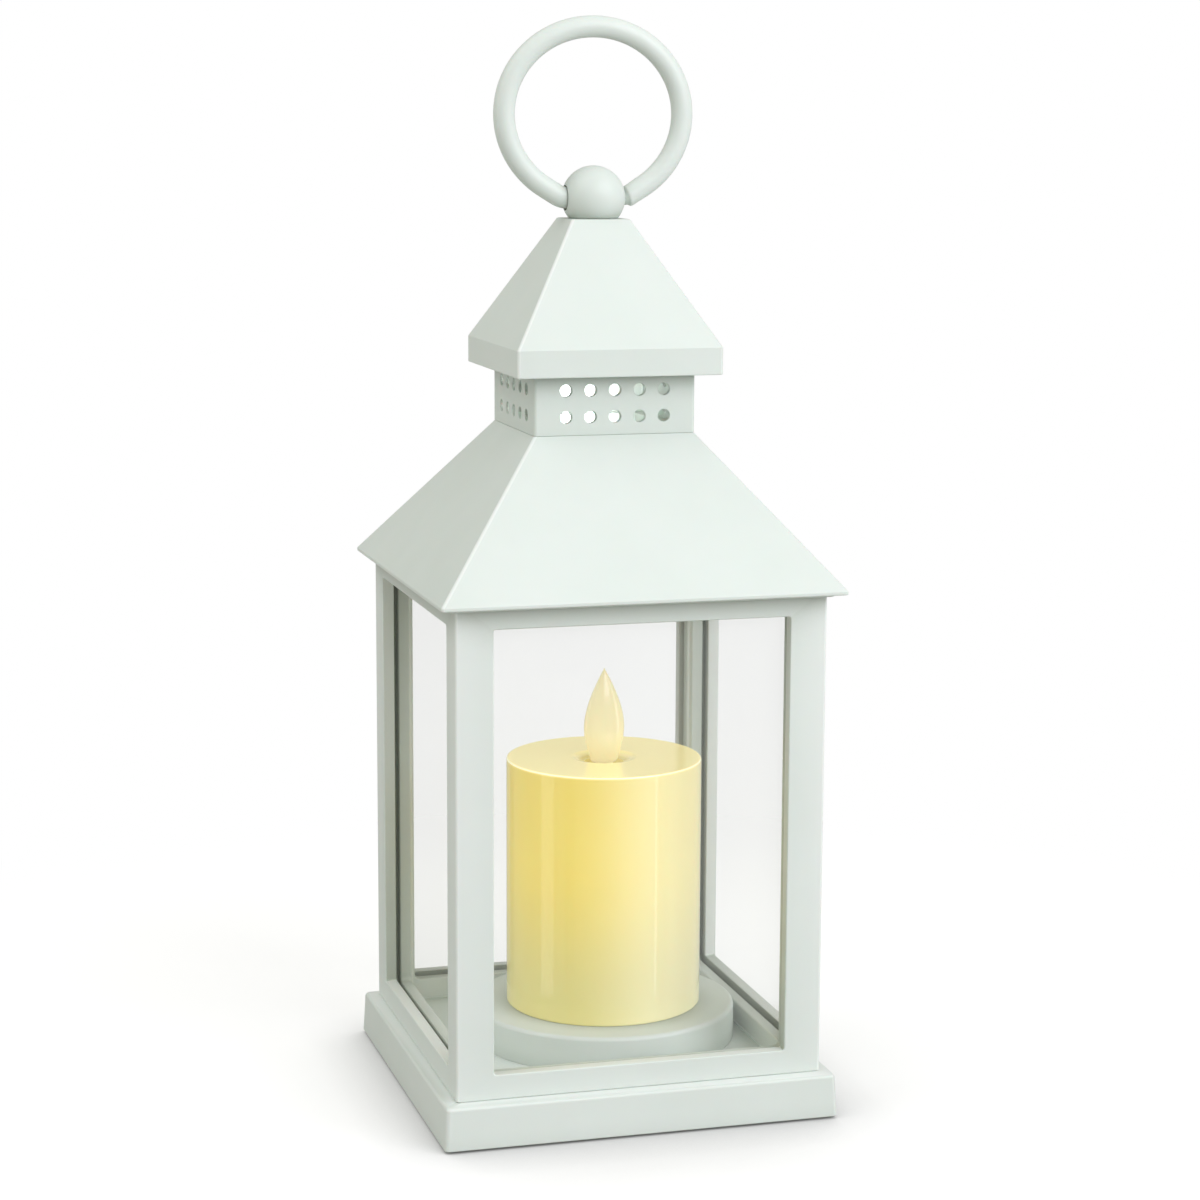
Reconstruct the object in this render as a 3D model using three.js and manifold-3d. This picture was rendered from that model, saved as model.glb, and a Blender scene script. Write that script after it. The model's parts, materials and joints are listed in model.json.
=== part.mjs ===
// Battery candle lantern with a ring handle, in millimetres, +Z up, standing on z = 0.
// The body is square and centred on the Z axis; the front is the -Y side.
import * as THREE from "three";
import { mergeVertices } from "three/addons/utils/BufferGeometryUtils.js";
import Module from "manifold-3d";

const wasm = await Module();
wasm.setup();

// Fits
const runningGap = 0.3;
const paneSideGap = 0.15;
const screwHoleGap = 0.3;
const screwTipGap = 1;

// How far a cutting form runs past a face, and how far a joined form sinks into its neighbour
const overcut = 1;
const sunkDepth = 0.5;
const mergeDistance = 1e-4;

// Facets around a full circle
const largeSides = 36;
const mediumSides = 20;
const ringSides = 12;
const smallSides = 10;
const edgeSteps = 3;
const ballRows = 16;
const leadSteps = 30;
const wireSegments = 3;

// Plinth and the plate under it
const ledgeWidth = 3.9;
const plinthDraft = 0.55;
const plinthWall = 2;
const plinthEdgeRadius = 0.9;
const plinthEdgeSweep = 80;
const plinthCornerRadius = 1.2;
const ledgeRise = 0.3;
const floorRecess = 0.6;
const floorThickness = 2;
const bossRadius = 3.4;
const basePlateRecess = 0.8;
const basePlateThickness = 1.8;
const screwSinkDepth = 0.9;
const baseScrewBite = 9;

// Rubber pads that the lantern stands on
const padRadius = 5;
const padInset = 17.5;
const padStand = 0.6;
const padEdge = 0.3;

// Body frame with a window and a pane slot on each side
const frameCornerRadius = 0.7;
const frameHeight = 126.5;
const frameTenon = 1.5;
const bottomRail = 6.5;
const topRail = 5.6;
const flangeThickness = 3.2;
const paneThickness = 1;
const paneOverlap = 3;
const slotEndWall = 1;
const beadThickness = 3.2;
const beadSetBack = 1;
const fixingInset = 3.6;

// Roof shell
const eaveOverhang = 4.3;
const eaveThickness = 1;
const eaveCornerRadius = 0.9;
const eaveEdgeEnd = 35;
const roofHeight = 38.9;
const roofWall = 2.2;
const roofNeckDepth = 2.5;
const roofRibThickness = 1.6;
const roofRibReach = 7;
const roofRibPitch = 24;
const eaveRimWidth = 1.2;
const eaveRimDrop = 0.7;
const pegRadius = 1.6;
const pegLength = 6;
const pegBossRadius = 3.2;

// Vent collar
const collarHalf = 21.4;
const collarCornerRadius = 0.8;
const collarShown = 15.3;
const collarWall = 1.6;
const collarInsert = 4.8;
const collarSpigotDepth = 3.5;
const collarSpigotWall = 1.6;
const collarShoulderReach = 1.4;
const collarShoulderHeight = 1.6;
const ventColumns = 5;
const ventPitch = 6.5;
const ventRadius = 1.6;
const ventRows = [4.7, 11.5];

// Cap
const capOverhang = 5.8;
const capSkirt = 7;
const capRise = 32;
const capTopHalf = 7.8;
const capCornerRadius = 0.8;
const capWall = 1.8;
const capTopThickness = 2.4;
const capSocketWall = 1.6;
const capSocketDrop = 3.2;
const capSocketRise = 6.4;
const capShoulder = 1.7;

// Ball finial, its screw and washer
const ballRadius = 8.3;
const ballRise = 5.3;
const ballStubRadius = 3.4;
const screwRadius = 1.5;
const finialScrewLength = 9;
const screwHeadRadius = 2.8;
const screwHeadTopRadius = 2.2;
const screwHeadHeight = 1.7;
const screwRecessReach = 1.7;
const screwRecessWidth = 0.7;
const screwRecessDepth = 0.9;
const washerRadius = 5;
const washerThickness = 0.8;

// Ring handle
const ringRodRadius = 2.8;
const ringHalfWidth = 23.9;
const ringHalfHeight = 22.3;
const ringDip = 0.9;
const ringJoinReach = 13;
const ringFilletReach = 1.5;
const ringPinDepth = 4;
const ringNeckRadius = 2;
const ringShoulderStart = 0.4;
const ringShoulderRun = 0.9;

// Candle on its pedestal, slightly right of the middle of the body
const candleOffset = 3.6;
const chamberMargin = 1.8;
const pedestalHeight = 9.6;
const pedestalWall = 2;
const pedestalEdgeRadius = 1.2;
const pedestalLipWall = 1.4;
const pedestalLipFlange = 1.5;
const pedestalLipDepth = 1.8;
const candleRadius = 26.2;
const candleHeight = 67.3;
const candleWall = 2.2;
const candleEdgeRadius = 0.9;
const candleTopWall = 2;
const dishRadius = 8.3;
const dishDepth = 1.4;
const flameHoleRadius = 5.3;
const locatingRingHeight = 2;
const locatingRingWall = 1.6;

// Core column inside the candle
const coreRadius = 10;
const coreWall = 2;
const coreFootThickness = 1.8;
const coreShelfThickness = 2;
const coreShelfBore = 2.2;
const coreScrewPlace = 16;
const coreScrewRadius = 1.3;
const coreScrewLength = 4.6;
const coreBossRadius = 3;
const coreBossHeight = 6;

// Flame, its wire, magnet, coil and lamp
const flameHeight = 25.2;
const flameWidth = 11.2;
const flameThickness = 5.2;
const flameFootWidth = 7.8;
const flameWidestShare = 0.38;
const flameTipRadius = 0.5;
const flameTaperPower = 0.92;
const flameTaperDraw = 0.1;
const stemWidth = 4.6;
const stemThickness = 2.6;
const stemLength = 13.8;
const wireRadius = 0.4;
const wireHoleRadius = 0.8;
const wireDepth = 2.6;
const wireEndWall = 0.6;
const magnetRadius = 3;
const magnetHeight = 5;
const magnetGap = 0.8;
const coilRadius = 6;
const coilBoreRadius = 2;
const coilHeight = 6;
const coilCheek = 0.8;
const coilWindingDepth = 1;
const lampRadius = 1.5;
const lampLength = 4.8;
const lampRimRadius = 1.9;
const lampRimHeight = 0.8;
const lampTilt = 16;
const lampSideRoom = 0.7;
const lampBracketDrop = 7.3;
const lampBracketThickness = 1.8;
const lampBracketMargin = 0.6;
const lampBracketWidth = 5.2;

// Battery box with three cells
const cellRadius = 5.25;
const cellLength = 43.5;
const cellEdge = 0.5;
const cellNubRadius = 1.9;
const cellNubLength = 1;
const cellGap = 0.3;
const cellCount = 3;
const contactThickness = 0.5;
const contactHalfWidth = 4.25;
const contactHalfHeight = 3.3;
const springLength = 4;
const springCoilRadius = 2.7;
const springWireRadius = 0.35;
const springTurns = 2;
const springTaper = 0.7;
const boxWall = 1.2;
const boxCornerCut = 2;
const boxSideRoom = 2.8;
const boxRibWidth = 1.4;
const boxRibDepth = 2;
const boxRibSetBack = 4;
const boxPostRadius = 2;
const boxPostPlaceX = 7;
const boxPostPlaceY = 4;

// Battery door
const doorTabWidth = 6;
const doorTabReach = 2;
const doorTabThickness = 1.2;
const doorTabPlace = 10;
const doorTabSwingRoom = 0.9;
const doorTongueWidth = 9;
const doorTongueHeight = 2;
const doorTongueThickness = 1.2;
const doorTongueInset = 1;
const thumbNotchRadius = 5;
const thumbNotchOutset = 1.7;
const thumbNotchDepth = 1;

// Switch and circuit board
const boardLength = 28;
const boardWidth = 12;
const boardThickness = 1.2;
const boardPlace = 30;
const boardPostRadius = 2;
const boardPinRadius = 0.9;
const boardPinPlace = 11;
const boardPinProud = 0.8;
const switchLength = 8.6;
const switchWidth = 4.4;
const switchHeight = 3.6;
const switchRoof = 1;
const knobLength = 3;
const knobWidth = 2.2;
const knobReach = 2.4;
const knobTravel = 2;

// Lead from the board up to the coil and lamp
const leadRadius = 0.9;
const leadPlace = 26;
const leadRunOffset = 5;
const leadBend = 2;

// Heights that follow from the sizes above, from the table up
const plinthBottomZ = padStand;
const basePlateZ = plinthBottomZ + basePlateRecess;
const basePlateTopZ = basePlateZ + basePlateThickness;
const boardZ = basePlateTopZ + runningGap + switchHeight;
const boardPinTopZ = boardZ + boardThickness + boardPinProud;
const cellZ = basePlateTopZ + runningGap + cellRadius;
const boxCeilingZ = cellZ + cellRadius + runningGap;
const boxTopZ = boxCeilingZ + boxWall;
const floorZ = boardPinTopZ + runningGap + floorThickness;
const frameBottomZ = floorZ + floorRecess;
const plinthTopZ = frameBottomZ - ledgeRise;
const eaveZ = frameBottomZ + frameHeight;
const frameTopZ = eaveZ + frameTenon;
const roofTopZ = eaveZ + roofHeight;
const capBottomZ = roofTopZ + collarShown;
const collarTopZ = capBottomZ + collarInsert;
const capTopZ = capBottomZ + capSkirt + capRise;
const capCeilingZ = capTopZ - capTopThickness;
const ballZ = capTopZ + ballRise;
const windowBottomZ = frameBottomZ + bottomRail;
const windowTopZ = eaveZ - topRail;
const slotBottomZ = windowBottomZ - paneOverlap;
const pedestalTopZ = floorZ + pedestalHeight;
const pedestalCeilingZ = pedestalTopZ - pedestalWall;
const candleTopZ = pedestalTopZ + candleHeight;
const dishFloorZ = candleTopZ - dishDepth;
const flameFootZ = dishFloorZ - runningGap;
const wireZ = dishFloorZ - candleTopWall - wireDepth;
const lampBracketTopZ = wireZ - lampBracketDrop;
const magnetTopZ = flameFootZ - stemLength;
const coilTopZ = magnetTopZ - magnetHeight - magnetGap;
const shelfTopZ = coilTopZ - coilHeight;

// Widths that follow, from the cells out: box, pedestal, chamber, frame, then plinth and roof
const cellPitch = 2 * cellRadius + cellGap;
const boxInnerHalfX = (cellLength + cellNubLength + springLength + 3 * runningGap) / 2 + contactThickness;
const boxInnerHalfY = (cellPitch * cellCount) / 2 + runningGap;
const boxHalfX = boxInnerHalfX + boxWall;
const boxHalfY = boxInnerHalfY + boxWall;
const boxReach = Math.hypot(boxHalfX, boxHalfY - boxCornerCut);
const pedestalRadius = boxReach + boxSideRoom + pedestalWall;
const chamberHalf = candleOffset + pedestalRadius + chamberMargin;
const slotThickness = paneThickness + 2 * paneSideGap;
const frameHalf = chamberHalf + beadThickness + slotThickness + flangeThickness;
const cornerFixing = frameHalf - fixingInset;
const slotHalf = cornerFixing - pegRadius - runningGap - slotEndWall;
const paneHalf = slotHalf - runningGap;
const windowHalf = paneHalf - paneOverlap;
const plinthHalf = frameHalf + ledgeWidth;
const padPlace = plinthHalf - padInset;
const eaveHalf = frameHalf + eaveOverhang;
const neckHalf = collarHalf - collarWall - collarShoulderReach;
const capHalf = collarHalf + capOverhang;
const lampPlace = coreRadius - coreWall - lampRimRadius - lampSideRoom;
const corners = [
  [-1, -1],
  [1, -1],
  [1, 1],
  [-1, 1],
];

// Finishes
const finishes = {
  shell: { color: 0xdfe7e0, roughness: 0.42, metalness: 0 },
  pane: { color: 0xf4f7f6, roughness: 0.05, metalness: 0, transparent: true, opacity: 0.25 },
  wax: { color: 0xf3e3a0, roughness: 0.35, metalness: 0 },
  flame: { color: 0xfaf0c4, roughness: 0.3, metalness: 0 },
  core: { color: 0xf2efe4, roughness: 0.5, metalness: 0 },
  steel: { color: 0xb9bcbe, roughness: 0.3, metalness: 1 },
  copper: { color: 0xb46a3c, roughness: 0.35, metalness: 1 },
  rubber: { color: 0xd4d8d2, roughness: 0.85, metalness: 0 },
  board: { color: 0x2f6b45, roughness: 0.55, metalness: 0 },
  cell: { color: 0x3a5f8f, roughness: 0.35, metalness: 0.2 },
  darkPlastic: { color: 0x222426, roughness: 0.5, metalness: 0 },
  leadSleeve: { color: 0xd8d4c8, roughness: 0.6, metalness: 0 },
};
const materials = {};
for (const [name, values] of Object.entries(finishes)) {
  materials[name] = new THREE.MeshStandardMaterial({ name, ...values });
}

// Solid modelling helpers

function toSolid(geometry) {
  const plain = geometry.clone();
  plain.deleteAttribute("normal");
  plain.deleteAttribute("uv");
  const merged = mergeVertices(plain, mergeDistance);
  const mesh = new wasm.Mesh({
    numProp: 3,
    vertProperties: merged.attributes.position.array,
    triVerts: new Uint32Array(merged.index.array),
  });
  return new wasm.Manifold(mesh);
}

function toGeometry(solid) {
  const mesh = solid.getMesh();
  const geometry = new THREE.BufferGeometry();
  geometry.setAttribute("position", new THREE.BufferAttribute(mesh.vertProperties, 3));
  geometry.setIndex(new THREE.BufferAttribute(mesh.triVerts, 1));
  return geometry;
}

function join(base, additions) {
  let solid = toSolid(base);
  for (const addition of additions) solid = solid.add(toSolid(addition));
  return toGeometry(solid);
}

function cut(base, tools) {
  let solid = toSolid(base);
  for (const tool of tools) solid = solid.subtract(toSolid(tool));
  return toGeometry(solid);
}

function clip(base, limit) {
  return toGeometry(toSolid(base).intersect(toSolid(limit)));
}

// Box between two corners
function block(x0, y0, z0, x1, y1, z1) {
  const geometry = new THREE.BoxGeometry(x1 - x0, y1 - y0, z1 - z0);
  return geometry.translate((x0 + x1) / 2, (y0 + y1) / 2, (z0 + z1) / 2);
}

// Upright block with its four corners cut off
function cutCornerBlock(halfX, halfY, corner, z0, z1) {
  const shape = new THREE.Shape();
  shape.moveTo(halfX - corner, -halfY);
  shape.lineTo(halfX, -halfY + corner);
  shape.lineTo(halfX, halfY - corner);
  shape.lineTo(halfX - corner, halfY);
  shape.lineTo(-halfX + corner, halfY);
  shape.lineTo(-halfX, halfY - corner);
  shape.lineTo(-halfX, -halfY + corner);
  shape.lineTo(-halfX + corner, -halfY);
  shape.closePath();
  const geometry = new THREE.ExtrudeGeometry(shape, { depth: z1 - z0, bevelEnabled: false });
  return geometry.translate(0, 0, z0);
}

// Upright round bar
function bar(x, y, z0, z1, radius, sides = smallSides) {
  const geometry = new THREE.CylinderGeometry(radius, radius, z1 - z0, sides);
  return geometry.rotateX(Math.PI / 2).translate(x, y, (z0 + z1) / 2);
}

// Round form about the Z axis from [radius, z] points listed from the bottom up
function turned(points, sides = mediumSides) {
  const profile = points.map(([radius, z]) => new THREE.Vector2(radius, z));
  return new THREE.LatheGeometry(profile, sides).rotateX(Math.PI / 2);
}

// Quarter round between two directions, as [distance, z] points
function arc(centre, radius, fromDegrees, toDegrees) {
  const points = [];
  for (let i = 0; i <= edgeSteps; i++) {
    const angle = THREE.MathUtils.degToRad(fromDegrees + ((toDegrees - fromDegrees) * i) / edgeSteps);
    points.push([centre[0] + radius * Math.cos(angle), centre[1] + radius * Math.sin(angle)]);
  }
  return points;
}

// Skin over outlines that all have the same number of points; a closed one returns to its first outline
function loft(outlines, closed = false) {
  const size = outlines[0].length;
  const positions = outlines.flat().flatMap((point) => [point.x, point.y, point.z]);
  const triangles = [];
  const spans = closed ? outlines.length : outlines.length - 1;
  for (let i = 0; i < spans; i++) {
    const low = i * size;
    const high = ((i + 1) % outlines.length) * size;
    for (let j = 0; j < size; j++) {
      const next = (j + 1) % size;
      triangles.push(low + j, low + next, high + next, low + j, high + next, high + j);
    }
  }
  if (!closed) {
    const last = (outlines.length - 1) * size;
    for (let j = 1; j < size - 1; j++) {
      triangles.push(0, j + 1, j);
      triangles.push(last, last + j, last + j + 1);
    }
  }
  const geometry = new THREE.BufferGeometry();
  geometry.setAttribute("position", new THREE.Float32BufferAttribute(positions, 3));
  geometry.setIndex(triangles);
  return geometry;
}

// Square outline with rounded corners at one height
function squareOutline(half, z, radius) {
  const points = [];
  const middle = half - radius;
  for (const [index, [sx, sy]] of [[1, 1], [-1, 1], [-1, -1], [1, -1]].entries()) {
    for (let i = 0; i <= edgeSteps; i++) {
      const angle = (Math.PI / 2) * (index + i / edgeSteps);
      const x = sx * middle + radius * Math.cos(angle);
      const y = sy * middle + radius * Math.sin(angle);
      points.push(new THREE.Vector3(x, y, z));
    }
  }
  return points;
}

// Square form about the Z axis from [half width, z] points: solid from the bottom up, or a closed loop
function squareTurned(points, radius, closed = false) {
  return loft(
    points.map(([half, z]) => squareOutline(half, z, radius)),
    closed,
  );
}

function piece(name, geometry, finish) {
  const mesh = new THREE.Mesh(geometry, materials[finish]);
  mesh.name = name;
  return mesh;
}

// Base

function makePlinth() {
  const edgeHalf = plinthHalf - plinthDraft;
  const edge = arc(
    [edgeHalf - plinthEdgeRadius, plinthTopZ - plinthEdgeRadius],
    plinthEdgeRadius,
    0,
    plinthEdgeSweep,
  );
  const ledgeEnd = [frameHalf + runningGap, frameBottomZ];
  const outside = squareTurned([[plinthHalf, plinthBottomZ], ...edge, ledgeEnd], plinthCornerRadius);
  const cavity = squareTurned(
    [
      [plinthHalf - plinthWall, plinthBottomZ - overcut],
      [plinthHalf - plinthWall - plinthDraft, floorZ - floorThickness],
    ],
    plinthCornerRadius,
  );
  const sunkFloor = squareTurned(
    [
      [chamberHalf - runningGap, floorZ],
      [chamberHalf - runningGap, frameBottomZ + overcut],
    ],
    plinthCornerRadius,
  );
  const mouthRadius = pedestalRadius - pedestalWall - runningGap;
  const mouth = bar(candleOffset, 0, plinthBottomZ, frameBottomZ, mouthRadius, largeSides);
  const shell = cut(outside, [cavity, sunkFloor, mouth]);
  const bosses = corners.map(([sx, sy]) =>
    bar(sx * cornerFixing, sy * cornerFixing, basePlateTopZ, floorZ - floorThickness / 2, bossRadius),
  );
  const holes = corners.map(([sx, sy]) =>
    bar(sx * cornerFixing, sy * cornerFixing, basePlateZ, frameBottomZ + overcut, screwRadius + screwHoleGap),
  );
  return piece("plinth", cut(join(shell, bosses), holes), "shell");
}

function makeBasePlate() {
  const half = plinthHalf - plinthWall - plinthDraft - runningGap;
  const plate = squareTurned(
    [
      [half, basePlateZ],
      [half, basePlateTopZ],
    ],
    plinthCornerRadius,
  );
  const posts = [-1, 1].flatMap((side) => {
    const x = candleOffset + side * boardPinPlace;
    return [
      bar(x, boardPlace, basePlateZ + basePlateThickness / 2, boardZ, boardPostRadius),
      bar(x, boardPlace, boardZ - sunkDepth, boardPinTopZ, boardPinRadius),
    ];
  });
  const doorway = block(
    candleOffset - boxInnerHalfX,
    -boxInnerHalfY,
    0,
    candleOffset + boxInnerHalfX,
    boxInnerHalfY,
    basePlateTopZ + overcut,
  );
  const slotHalfX = knobLength / 2 + knobTravel + runningGap;
  const slotHalfY = knobWidth / 2 + runningGap;
  const switchSlot = block(
    candleOffset - slotHalfX,
    boardPlace - slotHalfY,
    0,
    candleOffset + slotHalfX,
    boardPlace + slotHalfY,
    basePlateTopZ + overcut,
  );
  const screwHoles = corners.flatMap(([sx, sy]) => {
    const x = sx * cornerFixing;
    const y = sy * cornerFixing;
    return [
      bar(x, y, 0, basePlateTopZ + overcut, screwRadius + screwHoleGap),
      bar(x, y, 0, basePlateZ + screwSinkDepth, screwHeadRadius + screwHoleGap),
    ];
  });
  return piece("base_plate", cut(join(plate, posts), [doorway, switchSlot, ...screwHoles]), "shell");
}

// Pan head screw that points up, with its head under its seat
function makeScrew(name, x, y, seatZ, radius, length) {
  const profile = [
    [0, -screwHeadHeight],
    [screwHeadTopRadius, -screwHeadHeight],
    [screwHeadRadius, -screwHeadHeight / 2],
    [screwHeadRadius, 0],
    [radius, 0],
    [radius, length - radius],
    [0, length],
  ];
  const halfArm = screwRecessWidth / 2;
  const top = screwRecessDepth - screwHeadHeight;
  const recess = [0, Math.PI / 2].map((angle) =>
    block(-screwRecessReach, -halfArm, -2 * screwHeadHeight, screwRecessReach, halfArm, top).rotateZ(angle),
  );
  const mesh = piece(name, cut(turned(profile, smallSides), recess), "steel");
  mesh.position.set(x, y, seatZ);
  return mesh;
}

function makeBaseScrews() {
  const seatZ = basePlateZ + screwSinkDepth;
  const length = frameBottomZ + baseScrewBite - seatZ;
  return corners.map(([sx, sy], index) => {
    const name = `base_screw_${index + 1}`;
    return makeScrew(name, sx * cornerFixing, sy * cornerFixing, seatZ, screwRadius, length);
  });
}

function makePads() {
  return corners.map(([sx, sy], index) => {
    const profile = [
      [0, 0],
      [padRadius - padEdge, 0],
      [padRadius, padEdge],
      [padRadius, basePlateZ],
      [0, basePlateZ],
    ];
    const pad = piece(`foot_pad_${index + 1}`, turned(profile), "rubber");
    pad.position.set(sx * padPlace, sy * padPlace, 0);
    return pad;
  });
}

// Body frame and panes

function makeFrame() {
  const outside = squareTurned(
    [
      [frameHalf, frameBottomZ],
      [frameHalf, frameTopZ],
    ],
    frameCornerRadius,
  );
  const chamber = squareTurned(
    [
      [chamberHalf, frameBottomZ - overcut],
      [chamberHalf, frameTopZ + overcut],
    ],
    frameCornerRadius,
  );
  const slotOuter = frameHalf - flangeThickness;
  const slotInner = slotOuter - slotThickness;
  const openings = [];
  for (let side = 0; side < 4; side++) {
    const window = block(-windowHalf, slotInner, windowBottomZ, windowHalf, frameHalf + overcut, windowTopZ);
    const beadHalf = windowHalf + beadSetBack;
    const beadWindow = block(
      -beadHalf,
      chamberHalf - overcut,
      windowBottomZ - beadSetBack,
      beadHalf,
      slotInner + runningGap,
      windowTopZ + beadSetBack,
    );
    const slot = block(-slotHalf, slotInner, slotBottomZ, slotHalf, slotOuter, frameTopZ + overcut);
    for (const opening of [window, beadWindow, slot]) openings.push(opening.rotateZ((side * Math.PI) / 2));
  }
  const screwHoles = corners.map(([sx, sy]) =>
    bar(
      sx * cornerFixing,
      sy * cornerFixing,
      frameBottomZ - overcut,
      frameBottomZ + baseScrewBite + screwTipGap,
      screwRadius + screwHoleGap,
    ),
  );
  const pegHoles = corners.map(([sx, sy]) =>
    bar(
      sx * cornerFixing,
      sy * cornerFixing,
      frameTopZ - pegLength - runningGap,
      frameTopZ + overcut,
      pegRadius + runningGap,
    ),
  );
  return piece("body_frame", cut(outside, [chamber, ...openings, ...screwHoles, ...pegHoles]), "shell");
}

function makePanes() {
  const names = ["pane_front", "pane_right", "pane_back", "pane_left"];
  const outerY = -(frameHalf - flangeThickness - paneSideGap);
  return names.map((name, side) => {
    const sheet = block(
      -paneHalf,
      outerY,
      slotBottomZ + runningGap,
      paneHalf,
      outerY + paneThickness,
      frameTopZ - runningGap,
    );
    return piece(name, sheet.rotateZ((side * Math.PI) / 2), "pane");
  });
}

// Roof, collar and cap

function makeRoof() {
  const slopeStartZ = eaveZ + eaveThickness;
  const slopeRise = roofTopZ - slopeStartZ;
  const slopeRun = eaveHalf - collarHalf;
  const slope = slopeRise / slopeRun;
  const wallAcross = roofWall / Math.sin(Math.atan(slope));
  const recessHalf = frameHalf + runningGap;
  const rimHalf = recessHalf + eaveRimWidth;
  const insideHalfAt = (z) => eaveHalf - wallAcross - (z - slopeStartZ) / slope;
  const insideZAt = (half) => slopeStartZ + (eaveHalf - wallAcross - half) * slope;
  const neckZ = roofTopZ - roofNeckDepth;
  const eaveRadius = eaveThickness / 2;
  const eaveEdge = arc([eaveHalf - eaveRadius, eaveZ + eaveRadius], eaveRadius, -90, eaveEdgeEnd);
  const shell = squareTurned(
    [
      [rimHalf, eaveZ],
      ...eaveEdge,
      [collarHalf, roofTopZ],
      [neckHalf, roofTopZ],
      [neckHalf, neckZ],
      [insideHalfAt(neckZ), neckZ],
      [recessHalf, insideZAt(recessHalf)],
      [recessHalf, eaveZ - eaveRimDrop],
      [rimHalf, eaveZ - eaveRimDrop],
    ],
    eaveCornerRadius,
    true,
  );
  // Ribs under the slope that rest on the frame's top edge
  const ribs = [];
  const ribInner = frameHalf - roofRibReach;
  for (let side = 0; side < 4; side++) {
    for (const place of [-roofRibPitch, 0, roofRibPitch]) {
      const low = place - roofRibThickness / 2;
      const high = place + roofRibThickness / 2;
      const rib = block(low, ribInner, frameTopZ, high, recessHalf + overcut, roofTopZ);
      ribs.push(rib.rotateZ((side * Math.PI) / 2));
    }
  }
  for (const [sx, sy] of corners) {
    ribs.push(bar(sx * cornerFixing, sy * cornerFixing, frameTopZ, roofTopZ, pegBossRadius));
  }
  const underSlope = squareTurned(
    [
      [eaveHalf - wallAcross / 2, slopeStartZ - overcut],
      [eaveHalf - wallAcross / 2, slopeStartZ],
      [collarHalf - wallAcross / 2, roofTopZ],
    ],
    eaveCornerRadius,
  );
  const pegs = corners.map(([sx, sy]) =>
    bar(sx * cornerFixing, sy * cornerFixing, frameTopZ - pegLength, frameTopZ + sunkDepth, pegRadius),
  );
  const inner = ribs.map((rib) => clip(rib, underSlope));
  return piece("roof", join(shell, [...inner, ...pegs]), "shell");
}

function makeCollar() {
  const spigotHalf = neckHalf - runningGap;
  const tube = squareTurned(
    [
      [spigotHalf, roofTopZ - collarSpigotDepth],
      [spigotHalf, roofTopZ],
      [collarHalf, roofTopZ],
      [collarHalf, collarTopZ],
      [collarHalf - collarWall, collarTopZ],
      [collarHalf - collarWall, roofTopZ + collarShoulderHeight],
      [spigotHalf - collarSpigotWall, roofTopZ + collarShoulderHeight],
      [spigotHalf - collarSpigotWall, roofTopZ - collarSpigotDepth],
    ],
    collarCornerRadius,
    true,
  );
  const holes = [];
  const drillLength = 2 * (collarHalf + overcut);
  for (const row of ventRows) {
    for (let column = 0; column < ventColumns; column++) {
      const across = (column - (ventColumns - 1) / 2) * ventPitch;
      for (const turn of [0, Math.PI / 2]) {
        const drill = new THREE.CylinderGeometry(ventRadius, ventRadius, drillLength, smallSides);
        holes.push(drill.translate(across, 0, roofTopZ + row).rotateZ(turn));
      }
    }
  }
  return piece("vent_collar", cut(tube, holes), "shell");
}

function makeCap() {
  const skirtTopZ = capBottomZ + capSkirt;
  const slope = capRise / (capHalf - capTopHalf);
  const wallAcross = capWall / Math.sin(Math.atan(slope));
  const innerHalfAt = (z) => capHalf - wallAcross - (z - skirtTopZ) / slope;
  const innerSkirtZ = skirtTopZ - (wallAcross - capWall) * slope;
  const outside = squareTurned(
    [
      [capHalf, capBottomZ],
      [capHalf, skirtTopZ],
      [capTopHalf, capTopZ],
    ],
    capCornerRadius,
  );
  const hollow = squareTurned(
    [
      [capHalf - capWall, capBottomZ - overcut],
      [capHalf - capWall, innerSkirtZ],
      [innerHalfAt(capCeilingZ), capCeilingZ],
    ],
    capCornerRadius,
  );
  const socketHalf = collarHalf + runningGap;
  const socketTopZ = collarTopZ + capSocketRise;
  const socket = squareTurned(
    [
      [socketHalf, collarTopZ - capSocketDrop],
      [socketHalf + capSocketWall, collarTopZ - capSocketDrop],
      [socketHalf + capSocketWall, socketTopZ],
      [socketHalf - capShoulder, socketTopZ],
      [socketHalf - capShoulder, collarTopZ],
      [socketHalf, collarTopZ],
    ],
    collarCornerRadius,
    true,
  );
  const shell = join(cut(outside, [hollow]), [clip(socket, outside)]);
  const screwHole = bar(0, 0, capCeilingZ - overcut, capTopZ + overcut, ballStubRadius + runningGap);
  return piece("cap", cut(shell, [screwHole]), "shell");
}

// Finial and ring

function makeBall() {
  const sphere = new THREE.SphereGeometry(ballRadius, mediumSides, ballRows);
  sphere.rotateX(Math.PI / 2).translate(0, 0, ballZ);
  const below = bar(0, 0, ballZ - 2 * ballRadius, capTopZ, 2 * ballRadius);
  const stub = bar(0, 0, capCeilingZ + runningGap, capTopZ + sunkDepth, ballStubRadius);
  const along = (x0, x1, radius) =>
    new THREE.CylinderGeometry(radius, radius, x1 - x0, smallSides)
      .rotateZ(Math.PI / 2)
      .translate((x0 + x1) / 2, 0, ballZ);
  const socketEnd = ballRadius - ringPinDepth - runningGap;
  const wideSocket = along(-ballRadius - overcut, -socketEnd, ringRodRadius + runningGap);
  const neckSocket = along(socketEnd, ballRadius + overcut, ringNeckRadius + runningGap);
  const screwTipZ = capCeilingZ - washerThickness + finialScrewLength;
  const pilot = bar(0, 0, capCeilingZ - overcut, screwTipZ + runningGap, screwRadius + screwHoleGap);
  const ball = join(cut(sphere, [below]), [stub]);
  return piece("finial_ball", cut(ball, [wideSocket, neckSocket, pilot]), "shell");
}

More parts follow.
